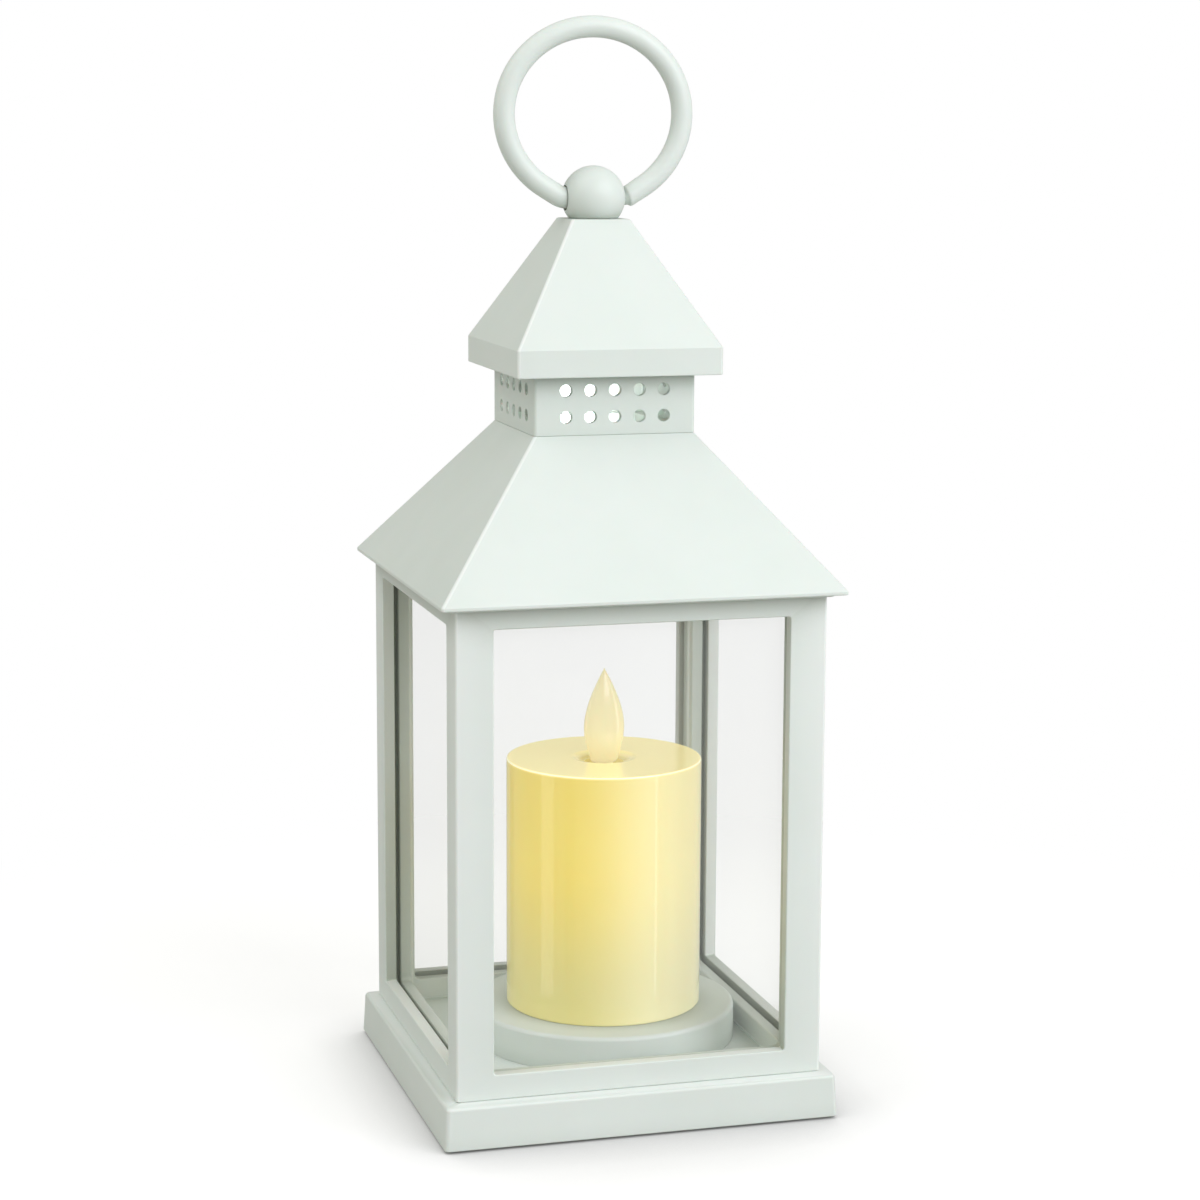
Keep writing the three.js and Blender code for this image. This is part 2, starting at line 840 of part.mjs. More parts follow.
function makeFinialWasher() {
  const hole = screwRadius + screwHoleGap;
  const bottomZ = capCeilingZ - washerThickness;
  const profile = [
    [hole, bottomZ],
    [washerRadius, bottomZ],
    [washerRadius, capCeilingZ],
    [hole, capCeilingZ],
    [hole, bottomZ],
  ];
  return piece("finial_washer", turned(profile), "steel");
}

// Centre line of the ring in its own plane: pin, bend, straight, then most of an ellipse
function ringCentreLine() {
  const centreZ = ballZ - ringDip + ringHalfHeight;
  const share = ringJoinReach / ringHalfWidth;
  const joinDrop = Math.sqrt(1 - share * share);
  const joinZ = centreZ - ringHalfHeight * joinDrop;
  const joinSlope = ((ringHalfHeight / ringHalfWidth) * share) / joinDrop;
  const bendX = ringJoinReach - (joinZ - ballZ) / joinSlope;
  const bendAngle = Math.atan(joinSlope);
  const bendRadius = ringFilletReach / Math.tan(bendAngle / 2);
  const half = [new THREE.Vector2(bendX - ringFilletReach, ballZ)];
  const bendSteps = 4;
  for (let i = 1; i <= bendSteps; i++) {
    const angle = (bendAngle * i) / bendSteps;
    const x = bendX - ringFilletReach + bendRadius * Math.sin(angle);
    const z = ballZ + bendRadius * (1 - Math.cos(angle));
    half.push(new THREE.Vector2(x, z));
  }
  const startAngle = Math.asin(share);
  const arcSteps = 18;
  for (let i = 0; i <= arcSteps; i++) {
    const angle = startAngle + ((Math.PI - startAngle) * i) / arcSteps;
    const x = ringHalfWidth * Math.sin(angle);
    const z = centreZ - ringHalfHeight * Math.cos(angle);
    half.push(new THREE.Vector2(x, z));
  }
  return half;
}

// Round outline square to a direction in the ring's plane
function ringOutline(x, z, tangent, radius) {
  const points = [];
  for (let i = 0; i < ringSides; i++) {
    const angle = (2 * Math.PI * i) / ringSides;
    const side = radius * Math.cos(angle);
    const y = -radius * Math.sin(angle);
    points.push(new THREE.Vector3(x - tangent.y * side, y, z + tangent.x * side));
  }
  return points;
}

function makeRing() {
  const half = ringCentreLine();
  const pinEnd = ballRadius - ringPinDepth;
  const right = half.map((point) => point.clone());
  const left = half.slice(0, -1).map((point) => new THREE.Vector2(-point.x, point.y));
  const line = [new THREE.Vector2(-pinEnd, ballZ), ...left, ...right.reverse()];
  // The right end stops short as a shoulder and goes on as a thinner neck
  const neckX = ballRadius + ringShoulderStart;
  const fullRodX = neckX + ringShoulderRun;
  const overPinZ = ballZ + 2 * ringRodRadius;
  const body = line.filter((point) => point.x < 0 || point.y > overPinZ || point.x > fullRodX);
  const tangents = body.map((_, i) => {
    const before = body[Math.max(i - 1, 0)];
    const after = body[Math.min(i + 1, body.length - 1)];
    return after.clone().sub(before).normalize();
  });
  tangents[0] = new THREE.Vector2(-1, 0);
  const outlines = body.map((point, i) => ringOutline(point.x, point.y, tangents[i], ringRodRadius));
  const leftward = new THREE.Vector2(-1, 0);
  outlines.push(ringOutline(neckX, ballZ, leftward, ringNeckRadius));
  outlines.push(ringOutline(pinEnd, ballZ, leftward, ringNeckRadius));
  return piece("ring_handle", loft(outlines), "shell");
}

// Candle

function makePedestal() {
  const edge = arc(
    [pedestalRadius - pedestalEdgeRadius, pedestalTopZ - pedestalEdgeRadius],
    pedestalEdgeRadius,
    0,
    90,
  );
  const wallInside = pedestalRadius - pedestalWall;
  const lipOutside = wallInside - 2 * runningGap;
  const lipInside = lipOutside - pedestalLipWall;
  const ringOutside = candleRadius - candleWall - runningGap;
  const ringInside = ringOutside - locatingRingWall;
  const shell = turned(
    [
      [lipInside, floorZ - pedestalLipDepth],
      [lipOutside, floorZ - pedestalLipDepth],
      [lipOutside, floorZ],
      [pedestalRadius, floorZ],
      ...edge,
      [ringOutside, pedestalTopZ],
      [ringOutside, pedestalTopZ + locatingRingHeight],
      [ringInside, pedestalTopZ + locatingRingHeight],
      [ringInside, pedestalTopZ],
      [leadRadius + 2 * runningGap, pedestalTopZ],
      [leadRadius + 2 * runningGap, pedestalCeilingZ],
      [wallInside, pedestalCeilingZ],
      [wallInside, floorZ + pedestalLipFlange],
      [lipInside, floorZ + pedestalLipFlange],
      [lipInside, floorZ - pedestalLipDepth],
    ],
    largeSides,
  );
  const screwHoles = [-1, 1].map((side) =>
    bar(
      side * coreScrewPlace,
      0,
      pedestalCeilingZ - overcut,
      pedestalTopZ + overcut,
      coreScrewRadius + screwHoleGap,
    ),
  );
  return piece("candle_pedestal", cut(shell, screwHoles), "shell");
}

function makeCandle() {
  const inside = candleRadius - candleWall;
  const undersideZ = candleTopZ - candleTopWall;
  const rim = arc(
    [candleRadius - candleEdgeRadius, candleTopZ - candleEdgeRadius],
    candleEdgeRadius,
    0,
    90,
  );
  const dishSteps = 4;
  const dish = [];
  for (let i = 0; i <= dishSteps; i++) {
    const share = i / dishSteps;
    const radius = dishRadius - (dishRadius - flameHoleRadius) * share;
    dish.push([radius, candleTopZ - dishDepth * Math.sin((share * Math.PI) / 2)]);
  }
  const dishUnderZ = dishFloorZ - candleTopWall;
  const profile = [
    [inside, pedestalTopZ],
    [candleRadius, pedestalTopZ],
    ...rim,
    ...dish,
    [flameHoleRadius, dishUnderZ],
    [dishRadius + candleTopWall, dishUnderZ],
    [dishRadius + 2 * candleTopWall, undersideZ],
    [inside, undersideZ],
    [inside, pedestalTopZ],
  ];
  return piece("candle_shell", turned(profile, largeSides), "wax");
}

function makeCore() {
  const footRadius = candleRadius - candleWall - 2 * runningGap - locatingRingWall;
  const topZ = dishFloorZ - candleTopWall - runningGap;
  const bore = coreRadius - coreWall;
  const shelfZ = shelfTopZ - coreShelfThickness;
  const column = turned(
    [
      [bore, pedestalTopZ],
      [footRadius, pedestalTopZ],
      [footRadius, pedestalTopZ + coreFootThickness],
      [coreRadius, pedestalTopZ + coreFootThickness],
      [coreRadius, topZ],
      [bore, topZ],
      [bore, shelfTopZ],
      [coreShelfBore, shelfTopZ],
      [coreShelfBore, shelfZ],
      [bore, shelfZ],
      [bore, pedestalTopZ],
    ],
    mediumSides,
  );
  const bracket = block(
    -lampBracketWidth / 2,
    -bore - coreWall / 2,
    lampBracketTopZ - lampBracketThickness,
    lampBracketWidth / 2,
    -lampPlace + lampRadius + lampBracketMargin,
    lampBracketTopZ,
  );
  const screwBosses = [-1, 1].map((side) =>
    bar(side * coreScrewPlace, 0, pedestalTopZ, pedestalTopZ + coreBossHeight, coreBossRadius),
  );
  const body = join(column, [bracket, ...screwBosses]);
  const lampHole = new THREE.CylinderGeometry(
    lampRadius + runningGap,
    lampRadius + runningGap,
    4 * lampBracketThickness,
    smallSides,
  );
  lampHole.rotateX(Math.PI / 2 - THREE.MathUtils.degToRad(lampTilt));
  lampHole.translate(0, -lampPlace, lampBracketTopZ - lampBracketThickness / 2);
  const wireSlot = new THREE.CylinderGeometry(
    wireRadius + runningGap,
    wireRadius + runningGap,
    2 * (coreRadius - wireEndWall),
    smallSides,
  ).translate(0, 0, wireZ);
  const wireEntry = block(
    -wireRadius - runningGap,
    -coreRadius + wireEndWall,
    wireZ,
    wireRadius + runningGap,
    coreRadius - wireEndWall,
    topZ + overcut,
  );
  const screwHoles = [-1, 1].map((side) =>
    bar(
      side * coreScrewPlace,
      0,
      pedestalTopZ - overcut,
      pedestalTopZ + coreScrewLength + runningGap,
      coreScrewRadius + screwHoleGap,
    ),
  );
  return piece("candle_core", cut(body, [lampHole, wireSlot, wireEntry, ...screwHoles]), "core");
}

function makeCoreScrews() {
  return [-1, 1].map((side, index) =>
    makeScrew(
      `core_screw_${index + 1}`,
      side * coreScrewPlace,
      0,
      pedestalCeilingZ,
      coreScrewRadius,
      pedestalWall + coreScrewLength - runningGap,
    ),
  );
}

// Flame leaf over a flat stem, swinging on its wire
function makeFlame() {
  const outline = (z, halfX, halfY) => {
    const points = [];
    for (let i = 0; i < ringSides; i++) {
      const angle = (2 * Math.PI * i) / ringSides;
      points.push(new THREE.Vector3(halfX * Math.cos(angle), halfY * Math.sin(angle), z));
    }
    return points;
  };
  const thickness = flameThickness / flameWidth;
  const outlines = [];
  const lowSteps = 5;
  const widestZ = flameFootZ + flameHeight * flameWidestShare;
  for (let i = 0; i <= lowSteps; i++) {
    const share = i / lowSteps;
    const swell = Math.sin((share * Math.PI) / 2);
    const halfX = (flameFootWidth + (flameWidth - flameFootWidth) * swell) / 2;
    outlines.push(outline(flameFootZ + (widestZ - flameFootZ) * share, halfX, halfX * thickness));
  }
  const highSteps = 10;
  for (let i = 1; i <= highSteps; i++) {
    const share = i / highSteps;
    const taper = Math.pow(Math.cos((share * Math.PI) / 2), flameTaperPower) * (1 - flameTaperDraw * share);
    const halfX = Math.max((flameWidth / 2) * taper, flameTipRadius);
    const z = widestZ + (flameFootZ + flameHeight - widestZ) * share;
    outlines.push(outline(z, halfX, Math.max(halfX * thickness, flameTipRadius)));
  }
  const leaf = loft(outlines);
  const stem = block(
    -stemWidth / 2,
    -stemThickness / 2,
    magnetTopZ,
    stemWidth / 2,
    stemThickness / 2,
    flameFootZ + sunkDepth,
  );
  const wireHole = new THREE.CylinderGeometry(wireHoleRadius, wireHoleRadius, 3 * stemThickness, smallSides);
  wireHole.translate(0, 0, wireZ);
  return piece("flame", cut(join(leaf, [stem]), [wireHole]), "flame");
}

function makeFlameMagnet() {
  return piece("flame_magnet", bar(0, 0, magnetTopZ - magnetHeight, magnetTopZ, magnetRadius), "steel");
}

function makeFlameWire() {
  const length = 2 * (coreRadius - wireEndWall - runningGap);
  const wire = new THREE.CylinderGeometry(wireRadius, wireRadius, length, smallSides);
  return piece("flame_wire", wire.translate(0, 0, wireZ), "steel");
}

function makeCoil() {
  const bottomZ = shelfTopZ;
  const bobbin = coilRadius - coilWindingDepth;
  const profile = [
    [coilBoreRadius, bottomZ],
    [coilRadius, bottomZ],
    [coilRadius, bottomZ + coilCheek],
    [bobbin, bottomZ + coilCheek],
    [bobbin, bottomZ + coilHeight - coilCheek],
    [coilRadius, bottomZ + coilHeight - coilCheek],
    [coilRadius, bottomZ + coilHeight],
    [coilBoreRadius, bottomZ + coilHeight],
    [coilBoreRadius, bottomZ],
  ];
  return piece("drive_coil", turned(profile), "copper");
}

function makeLamp() {
  const dome = arc([0, lampLength - lampRadius], lampRadius, 0, 90).slice(0, edgeSteps);
  const profile = [
    [0, -lampRimHeight],
    [lampRimRadius, -lampRimHeight],
    [lampRimRadius, 0],
    [lampRadius, 0],
    ...dome,
    [0, lampLength],
  ];
  const lamp = piece("lamp", turned(profile, smallSides), "flame");
  // Hangs in its bracket with the rim below, leaning in at the flame
  lamp.rotation.x = -THREE.MathUtils.degToRad(lampTilt);
  const seatZ = lampBracketTopZ - lampBracketThickness;
  const lean = Math.tan(THREE.MathUtils.degToRad(lampTilt));
  const down = runningGap + lampRimRadius * lean;
  const y = -lampPlace - (lampBracketThickness / 2 + down) * lean;
  lamp.position.set(0, y, seatZ - down);
  return lamp;
}

// Battery box

function makeBatteryBox() {
  const innerCornerCut = boxCornerCut - boxWall * (2 - Math.SQRT2);
  const outside = cutCornerBlock(boxHalfX, boxHalfY, boxCornerCut, basePlateTopZ, boxTopZ);
  const mouthZ = basePlateTopZ - overcut;
  const inside = cutCornerBlock(boxInnerHalfX, boxInnerHalfY, innerCornerCut, mouthZ, boxCeilingZ);
  const tabSlots = [-1, 1].map((side) => {
    const reach = boxInnerHalfX + doorTabReach + 2 * runningGap;
    const half = doorTabWidth / 2 + runningGap;
    const middle = side * doorTabPlace;
    const top = basePlateTopZ + 2 * runningGap + doorTabThickness + doorTabSwingRoom;
    return block(-reach, middle - half, mouthZ, -boxInnerHalfX + overcut, middle + half, top);
  });
  const ribs = [];
  for (let i = 1; i < cellCount; i++) {
    const y = (i - cellCount / 2) * cellPitch;
    const low = y - boxRibWidth / 2;
    const high = y + boxRibWidth / 2;
    const reach = cellLength / 2 - boxRibSetBack;
    ribs.push(block(-reach, low, boxCeilingZ - boxRibDepth, reach, high, boxCeilingZ + sunkDepth));
  }
  const posts = corners.map(([sx, sy]) =>
    bar(
      sx * (boxHalfX - boxPostPlaceX),
      sy * (boxHalfY - boxPostPlaceY),
      boxTopZ - sunkDepth,
      pedestalCeilingZ,
      boxPostRadius,
    ),
  );
  return piece("battery_box", join(cut(outside, [inside, ...tabSlots]), [...ribs, ...posts]), "darkPlastic");
}

function cellCentre(index) {
  return (index - (cellCount - 1) / 2) * cellPitch;
}

// The middle cell lies the other way round
function cellDirection(index) {
  return index % 2 ? -1 : 1;
}

function makeCells() {
  return Array.from({ length: cellCount }, (_, index) => {
    const profile = [
      [0, 0],
      [cellRadius - cellEdge, 0],
      [cellRadius, cellEdge],
      [cellRadius, cellLength - cellEdge],
      [cellRadius - cellEdge, cellLength],
      [cellNubRadius, cellLength],
      [cellNubRadius, cellLength + cellNubLength],
      [0, cellLength + cellNubLength],
    ];
    const cell = piece(`battery_${index + 1}`, turned(profile), "cell");
    const direction = cellDirection(index);
    const tip = boxInnerHalfX - contactThickness - 2 * runningGap;
    cell.rotation.y = (direction * Math.PI) / 2;
    cell.position.set(direction * (tip - cellLength - cellNubLength), cellCentre(index), cellZ);
    return cell;
  });
}

function makeSprings() {
  return Array.from({ length: cellCount }, (_, index) => {
    const points = [];
    const stepsPerTurn = 8;
    const steps = springTurns * stepsPerTurn;
    const rise = springLength - 2 * springWireRadius - 2 * runningGap;
    for (let i = 0; i <= steps; i++) {
      const angle = (2 * Math.PI * i) / stepsPerTurn;
      const radius = springCoilRadius - (springTaper * i) / steps;
      const z = springWireRadius + runningGap + (rise * i) / steps;
      points.push(new THREE.Vector3(radius * Math.cos(angle), radius * Math.sin(angle), z));
    }
    const section = new THREE.Shape();
    section.absarc(0, 0, springWireRadius, 0, 2 * Math.PI);
    const wire = new THREE.ExtrudeGeometry(section, {
      steps,
      curveSegments: wireSegments,
      extrudePath: new THREE.CatmullRomCurve3(points),
    });
    const spring = piece(`contact_spring_${index + 1}`, wire, "steel");
    const direction = cellDirection(index);
    spring.rotation.y = (direction * Math.PI) / 2;
    const wall = boxInnerHalfX - contactThickness - runningGap;
    spring.position.set(-direction * wall, cellCentre(index), cellZ);
    return spring;
  });
}

// Contact plates against the end walls: one cell wide at one side, two cells wide at the other
function makeContacts() {
  const spans = [
    ["contact_plate_start", -1, 0, 0],
    ["contact_plate_link_1", 1, 0, 1],
    ["contact_plate_link_2", -1, 1, 2],
    ["contact_plate_end", 1, 2, 2],
  ];
  return spans.map(([name, end, first, last]) => {
    const near = end * (boxInnerHalfX - runningGap);
    const far = near - end * contactThickness;
    const plate = block(
      Math.min(near, far),
      cellCentre(first) - contactHalfWidth,
      cellZ - contactHalfHeight,
      Math.max(near, far),
      cellCentre(last) + contactHalfWidth,
      cellZ + contactHalfHeight,
    );
    return piece(name, plate, "steel");
  });
}

// Door in the plate's opening, on two tabs at its left end
function makeBatteryDoor() {
  const halfX = boxInnerHalfX - runningGap;
  const halfY = boxInnerHalfY - runningGap;
  const panel = block(-halfX, -halfY, basePlateZ, halfX, halfY, basePlateTopZ);
  const tabZ = basePlateTopZ + runningGap;
  const additions = [-1, 1].map((side) => {
    const middle = side * doorTabPlace;
    const reach = boxInnerHalfX + doorTabReach;
    const low = middle - doorTabWidth / 2;
    const high = middle + doorTabWidth / 2;
    const riserX = -halfX + doorTabThickness;
    const riser = block(-halfX, low, basePlateTopZ - sunkDepth, riserX, high, tabZ + sunkDepth);
    return join(riser, [block(-reach, low, tabZ, riserX, high, tabZ + doorTabThickness)]);
  });
  const tongueX = halfX - doorTongueInset;
  additions.push(
    block(
      tongueX - doorTongueThickness,
      -doorTongueWidth / 2,
      basePlateTopZ - sunkDepth,
      tongueX,
      doorTongueWidth / 2,
      basePlateTopZ + doorTongueHeight,
    ),
  );
  const notch = bar(
    halfX + thumbNotchOutset,
    0,
    basePlateZ - overcut,
    basePlateZ + thumbNotchDepth,
    thumbNotchRadius,
    mediumSides,
  );
  return piece("battery_door", cut(join(panel, additions), [notch]), "shell");
}

// Switch, board and lead

function makeBoard() {
  const x0 = -boardLength / 2;
  const plate = block(
    x0,
    boardPlace - boardWidth / 2,
    boardZ,
    -x0,
    boardPlace + boardWidth / 2,
    boardZ + boardThickness,
  );
  const holes = [-1, 1].map((side) =>
    bar(
      side * boardPinPlace,
      boardPlace,
      boardZ - overcut,
      boardZ + boardThickness + overcut,
      boardPinRadius + runningGap,
    ),
  );
  return piece("circuit_board", cut(plate, holes), "board");
}

function makeSwitchBody() {
  const body = block(
    -switchLength / 2,
    boardPlace - switchWidth / 2,
    boardZ - switchHeight,
    switchLength / 2,
    boardPlace + switchWidth / 2,
    boardZ,
  );
  const slotHalf = knobLength / 2 + knobTravel + runningGap;
  const slot = block(
    -slotHalf,
    boardPlace - knobWidth / 2 - runningGap,
    boardZ - switchHeight - overcut,
    slotHalf,
    boardPlace + knobWidth / 2 + runningGap,
    boardZ - switchRoof,
  );
  return piece("switch_body", cut(body, [slot]), "steel");
}

function makeSwitchKnob() {
  const bodyBottomZ = boardZ - switchHeight;
  const knob = block(
    -knobLength / 2,
    boardPlace - knobWidth / 2,
    bodyBottomZ - knobReach,
    knobLength / 2,
    boardPlace + knobWidth / 2,
    boardZ - switchRoof - runningGap,
  );
  return piece("switch_knob", knob, "darkPlastic");
}

function makeLead() {
  const runZ = (boxTopZ + pedestalCeilingZ) / 2;
  const points = [
    [leadRunOffset, leadPlace, boardZ + boardThickness + runningGap],
    [leadRunOffset, leadPlace, runZ - 2 * leadBend],
    [leadRunOffset, leadPlace - leadBend, runZ - leadBend / 2],
    [leadRunOffset, leadPlace - 3 * leadBend, runZ],
    [leadRunOffset / 2, leadPlace / 2, runZ],
    [leadBend / 2, 2 * leadBend, runZ],
    [0, leadBend / 4, runZ + leadBend / 2],
    [0, 0, pedestalTopZ + leadBend],
    [0, 0, (pedestalTopZ + shelfTopZ) / 2],
    [0, 0, shelfTopZ + coilHeight / 2],
  ].map(([x, y, z]) => new THREE.Vector3(x, y, z));
  const section = new THREE.Shape();
  section.absarc(0, 0, leadRadius, 0, 2 * Math.PI);
  const tube = new THREE.ExtrudeGeometry(section, {
    steps: leadSteps,
    curveSegments: wireSegments,
    extrudePath: new THREE.CatmullRomCurve3(points, false, "centripetal"),
  });
  return piece("lamp_lead", tube, "leadSleeve");
}

const lantern = new THREE.Group();
lantern.add(makePlinth(), makeBasePlate(), ...makeBaseScrews(), ...makePads());
lantern.add(makeFrame(), ...makePanes());
lantern.add(makeRoof(), makeCollar(), makeCap());
lantern.add(makeBall(), makeFinialWasher(), makeRing());
lantern.add(
  makeScrew(
    "finial_screw",
    0,
    0,
    capCeilingZ - washerThickness,
    screwRadius,
    finialScrewLength,
  ),
);

const candle = new THREE.Group();
candle.position.x = candleOffset;
candle.add(makePedestal(), makeCandle(), makeCore(), ...makeCoreScrews());
candle.add(makeFlame(), makeFlameMagnet(), makeFlameWire(), makeCoil(), makeLamp());
candle.add(makeBatteryBox(), ...makeCells(), ...makeSprings(), ...makeContacts(), makeBatteryDoor());
candle.add(makeBoard(), makeSwitchBody(), makeSwitchKnob(), makeLead());
lantern.add(candle);

export default lantern;
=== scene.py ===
import json
import math

import bmesh
import bpy
from mathutils import Euler, Matrix, Vector


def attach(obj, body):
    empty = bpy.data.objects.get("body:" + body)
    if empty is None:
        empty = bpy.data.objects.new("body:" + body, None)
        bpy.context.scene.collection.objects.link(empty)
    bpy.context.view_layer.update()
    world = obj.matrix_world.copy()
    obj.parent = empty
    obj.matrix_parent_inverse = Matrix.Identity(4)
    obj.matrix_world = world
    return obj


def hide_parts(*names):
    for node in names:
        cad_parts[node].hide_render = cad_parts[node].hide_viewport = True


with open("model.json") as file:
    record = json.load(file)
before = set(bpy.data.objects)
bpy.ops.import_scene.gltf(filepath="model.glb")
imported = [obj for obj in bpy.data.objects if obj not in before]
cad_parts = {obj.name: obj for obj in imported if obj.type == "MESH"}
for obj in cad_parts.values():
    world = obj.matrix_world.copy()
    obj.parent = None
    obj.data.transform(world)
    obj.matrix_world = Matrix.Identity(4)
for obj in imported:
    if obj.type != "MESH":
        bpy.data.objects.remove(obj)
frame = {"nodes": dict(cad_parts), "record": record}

scene = bpy.context.scene
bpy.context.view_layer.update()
mm = 0.001  # the lantern's sizes below are in millimetres, the lamps' and camera's in metres
print("frame loaded:", len(frame["nodes"]), "nodes")


# mesh helpers

def roundCorners(corners, steps=4, edgeShare=0.48):
    # (a, b, radius) round a closed outline; each corner with a radius becomes a short arc,
    # which takes at most a share of the edges beside it
    outline = []
    for i, (a, b, radius) in enumerate(corners):
        corner = Vector((a, b))
        if radius == 0:
            outline.append((a, b))
            continue
        back = Vector(corners[i - 1][:2]) - corner
        ahead = Vector(corners[(i + 1) % len(corners)][:2]) - corner
        halfAngle = back.angle(ahead) / 2
        longest = edgeShare * min(back.length, ahead.length)
        reach = min(radius / math.tan(halfAngle), longest)
        middle = (back.normalized() + ahead.normalized()).normalized()
        centre = corner + middle * (reach / math.cos(halfAngle))
        start = corner + back.normalized() * reach - centre
        end = corner + ahead.normalized() * reach - centre
        sweep = start.angle(end)
        for k in range(steps + 1):
            share = k / steps
            spoke = start * math.sin((1 - share) * sweep) + end * math.sin(share * sweep)
            outline.append(tuple(centre + spoke / math.sin(sweep)))
    return outline


def squareLoop(half, z, radius, steps=5):
    loop = []
    for turn, (sx, sy) in enumerate([(1, 1), (-1, 1), (-1, -1), (1, -1)]):
        for i in range(steps + 1):
            angle = math.pi / 2 * (turn + i / steps)
            x = sx * (half - radius) + radius * math.cos(angle)
            y = sy * (half - radius) + radius * math.sin(angle)
            loop.append((x, y, z))
    return loop


def roundLoop(radius, z, x=0.0, sides=96):
    angles = [2 * math.pi * i / sides for i in range(sides)]
    return [(x + radius * math.cos(angle), radius * math.sin(angle), z) for angle in angles]


def skin(loops, closed=False, ends=True):
    # faces between loops that all have the same number of points
    size = len(loops[0])
    vertices = [point for loop in loops for point in loop]
    faces = []
    for i in range(len(loops) if closed else len(loops) - 1):
        low, high = i * size, (i + 1) % len(loops) * size
        for j in range(size):
            k = (j + 1) % size
            faces.append((low + j, low + k, high + k, high + j))
    if ends and not closed:
        faces.append(tuple(reversed(range(size))))
        faces.append(tuple(range(len(vertices) - size, len(vertices))))
    return vertices, faces


def squareTurned(corners, planRadius, steps=4):
    # corners are (half width, z, radius); a narrow loop keeps a smaller plan radius
    profile = roundCorners(corners, steps)
    loops = [squareLoop(half, z, min(planRadius, half / 2)) for half, z in profile]
    return skin(loops, closed=True)


def turned(corners, x=0.0, sides=96, steps=4):
    # corners are (radius, z, corner radius)
    profile = roundCorners(corners, steps)
    return skin([roundLoop(radius, z, x, sides) for radius, z in profile], closed=True)


def prism(outline, low, high):
    # outline in (y, z), pushed along X from low to high
    return skin([[(x, y, z) for y, z in outline] for x in (low, high)])


def turnPart(part, quarterTurns):
    rotation = Matrix.Rotation(quarterTurns * math.pi / 2, 3, "Z")
    vertices, faces = part
    return [tuple(rotation @ Vector(point)) for point in vertices], faces


def movePart(part, x, y):
    vertices, faces = part
    return [(px + x, py + y, pz) for px, py, pz in vertices], faces


meshLimits = {"merge": 0.000002, "sliver": 0.000001}  # metres


def makePiece(name, *parts):
    vertices, faces = [], []
    for points, polygons in parts:
        start = len(vertices)
        vertices += [Vector(point) * mm for point in points]
        faces += [tuple(start + index for index in polygon) for polygon in polygons]
    mesh = bpy.data.meshes.new(name)
    mesh.from_pydata(vertices, [], faces)
    build = bmesh.new()
    build.from_mesh(mesh)
    bmesh.ops.remove_doubles(build, verts=build.verts, dist=meshLimits["merge"])
    bmesh.ops.dissolve_degenerate(build, edges=build.edges, dist=meshLimits["sliver"])
    bmesh.ops.recalc_face_normals(build, faces=build.faces)
    build.to_mesh(mesh)
    build.free()
    piece = bpy.data.objects.new(name, mesh)
    scene.collection.objects.link(piece)
    return piece


def cutAway(piece, cutters, edgeRadius=0.0, edgeSteps=3, sharpAngle=50):
    # takes the cutters out of the piece, softens the new edges and drops the cutters
    for cutter in cutters:
        modifier = piece.modifiers.new("cut", "BOOLEAN")
        modifier.object = cutter
        modifier.solver = "EXACT"
    if edgeRadius:
        bevel = piece.modifiers.new("softEdge", "BEVEL")
        bevel.width = edgeRadius * mm
        bevel.segments = edgeSteps
        bevel.limit_method = "ANGLE"
        bevel.angle_limit = math.radians(sharpAngle)
    shaped = piece.evaluated_get(bpy.context.evaluated_depsgraph_get())
    piece.data = bpy.data.meshes.new_from_object(shaped)
    piece.modifiers.clear()
    for cutter in cutters:
        bpy.data.objects.remove(cutter)


def dress(piece, material, body, slot, *nodes, softAngle=34):
    piece.data.materials.clear()
    piece.data.materials.append(material)
    piece.data.shade_smooth()
    piece.data.set_sharp_from_angle(angle=math.radians(softAngle))
    shading = piece.modifiers.new("evenShading", "WEIGHTED_NORMAL")
    shading.keep_sharp = True
    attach(piece, body)
    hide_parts(*nodes)


# node helpers

def colour(hexText):
    # a colour as written on screen, as the linear values that nodes take
    linear = []
    for i in (0, 2, 4):
        part = int(hexText[i:i + 2], 16) / 255
        linear.append(part / 12.92 if part <= 0.04045 else ((part + 0.055) / 1.055) ** 2.4)
    return (*linear, 1)


def addNode(tree, kind, inputs=None, **settings):
    # each input takes a plain value or the socket that feeds it
    node = tree.nodes.new(kind)
    for key, value in settings.items():
        setattr(node, key, value)
    for key, value in (inputs or {}).items():
        if isinstance(value, bpy.types.NodeSocket):
            tree.links.new(value, node.inputs[key])
        else:
            node.inputs[key].default_value = value
    return node


def calculate(tree, operation, *values):
    node = addNode(tree, "ShaderNodeMath", dict(enumerate(values)), operation=operation)
    return node.outputs[0]


def blendColours(tree, factor, first, second):
    inputs = {"Factor": factor, "A": first, "B": second}
    return addNode(tree, "ShaderNodeMix", inputs, data_type="RGBA").outputs["Result"]


def rangeOver(tree, value, start, end, kind="SMOOTHSTEP"):
    inputs = {"Value": value, "From Min": start, "From Max": end}
    return addNode(tree, "ShaderNodeMapRange", inputs, interpolation_type=kind).outputs["Result"]


def mixShaders(tree, factor, first, second):
    inputs = {0: factor, 1: first.outputs[0], 2: second.outputs[0]}
    return addNode(tree, "ShaderNodeMixShader", inputs)


def openness(tree, samples, **inputs):
    node = addNode(tree, "ShaderNodeAmbientOcclusion", inputs, samples=samples)
    return node.outputs["AO"]


def objectPlace(tree):
    return addNode(tree, "ShaderNodeTexCoord").outputs["Object"]


def axesOf(tree, vector):
    return addNode(tree, "ShaderNodeSeparateXYZ", {"Vector": vector}).outputs


# shared surface effects

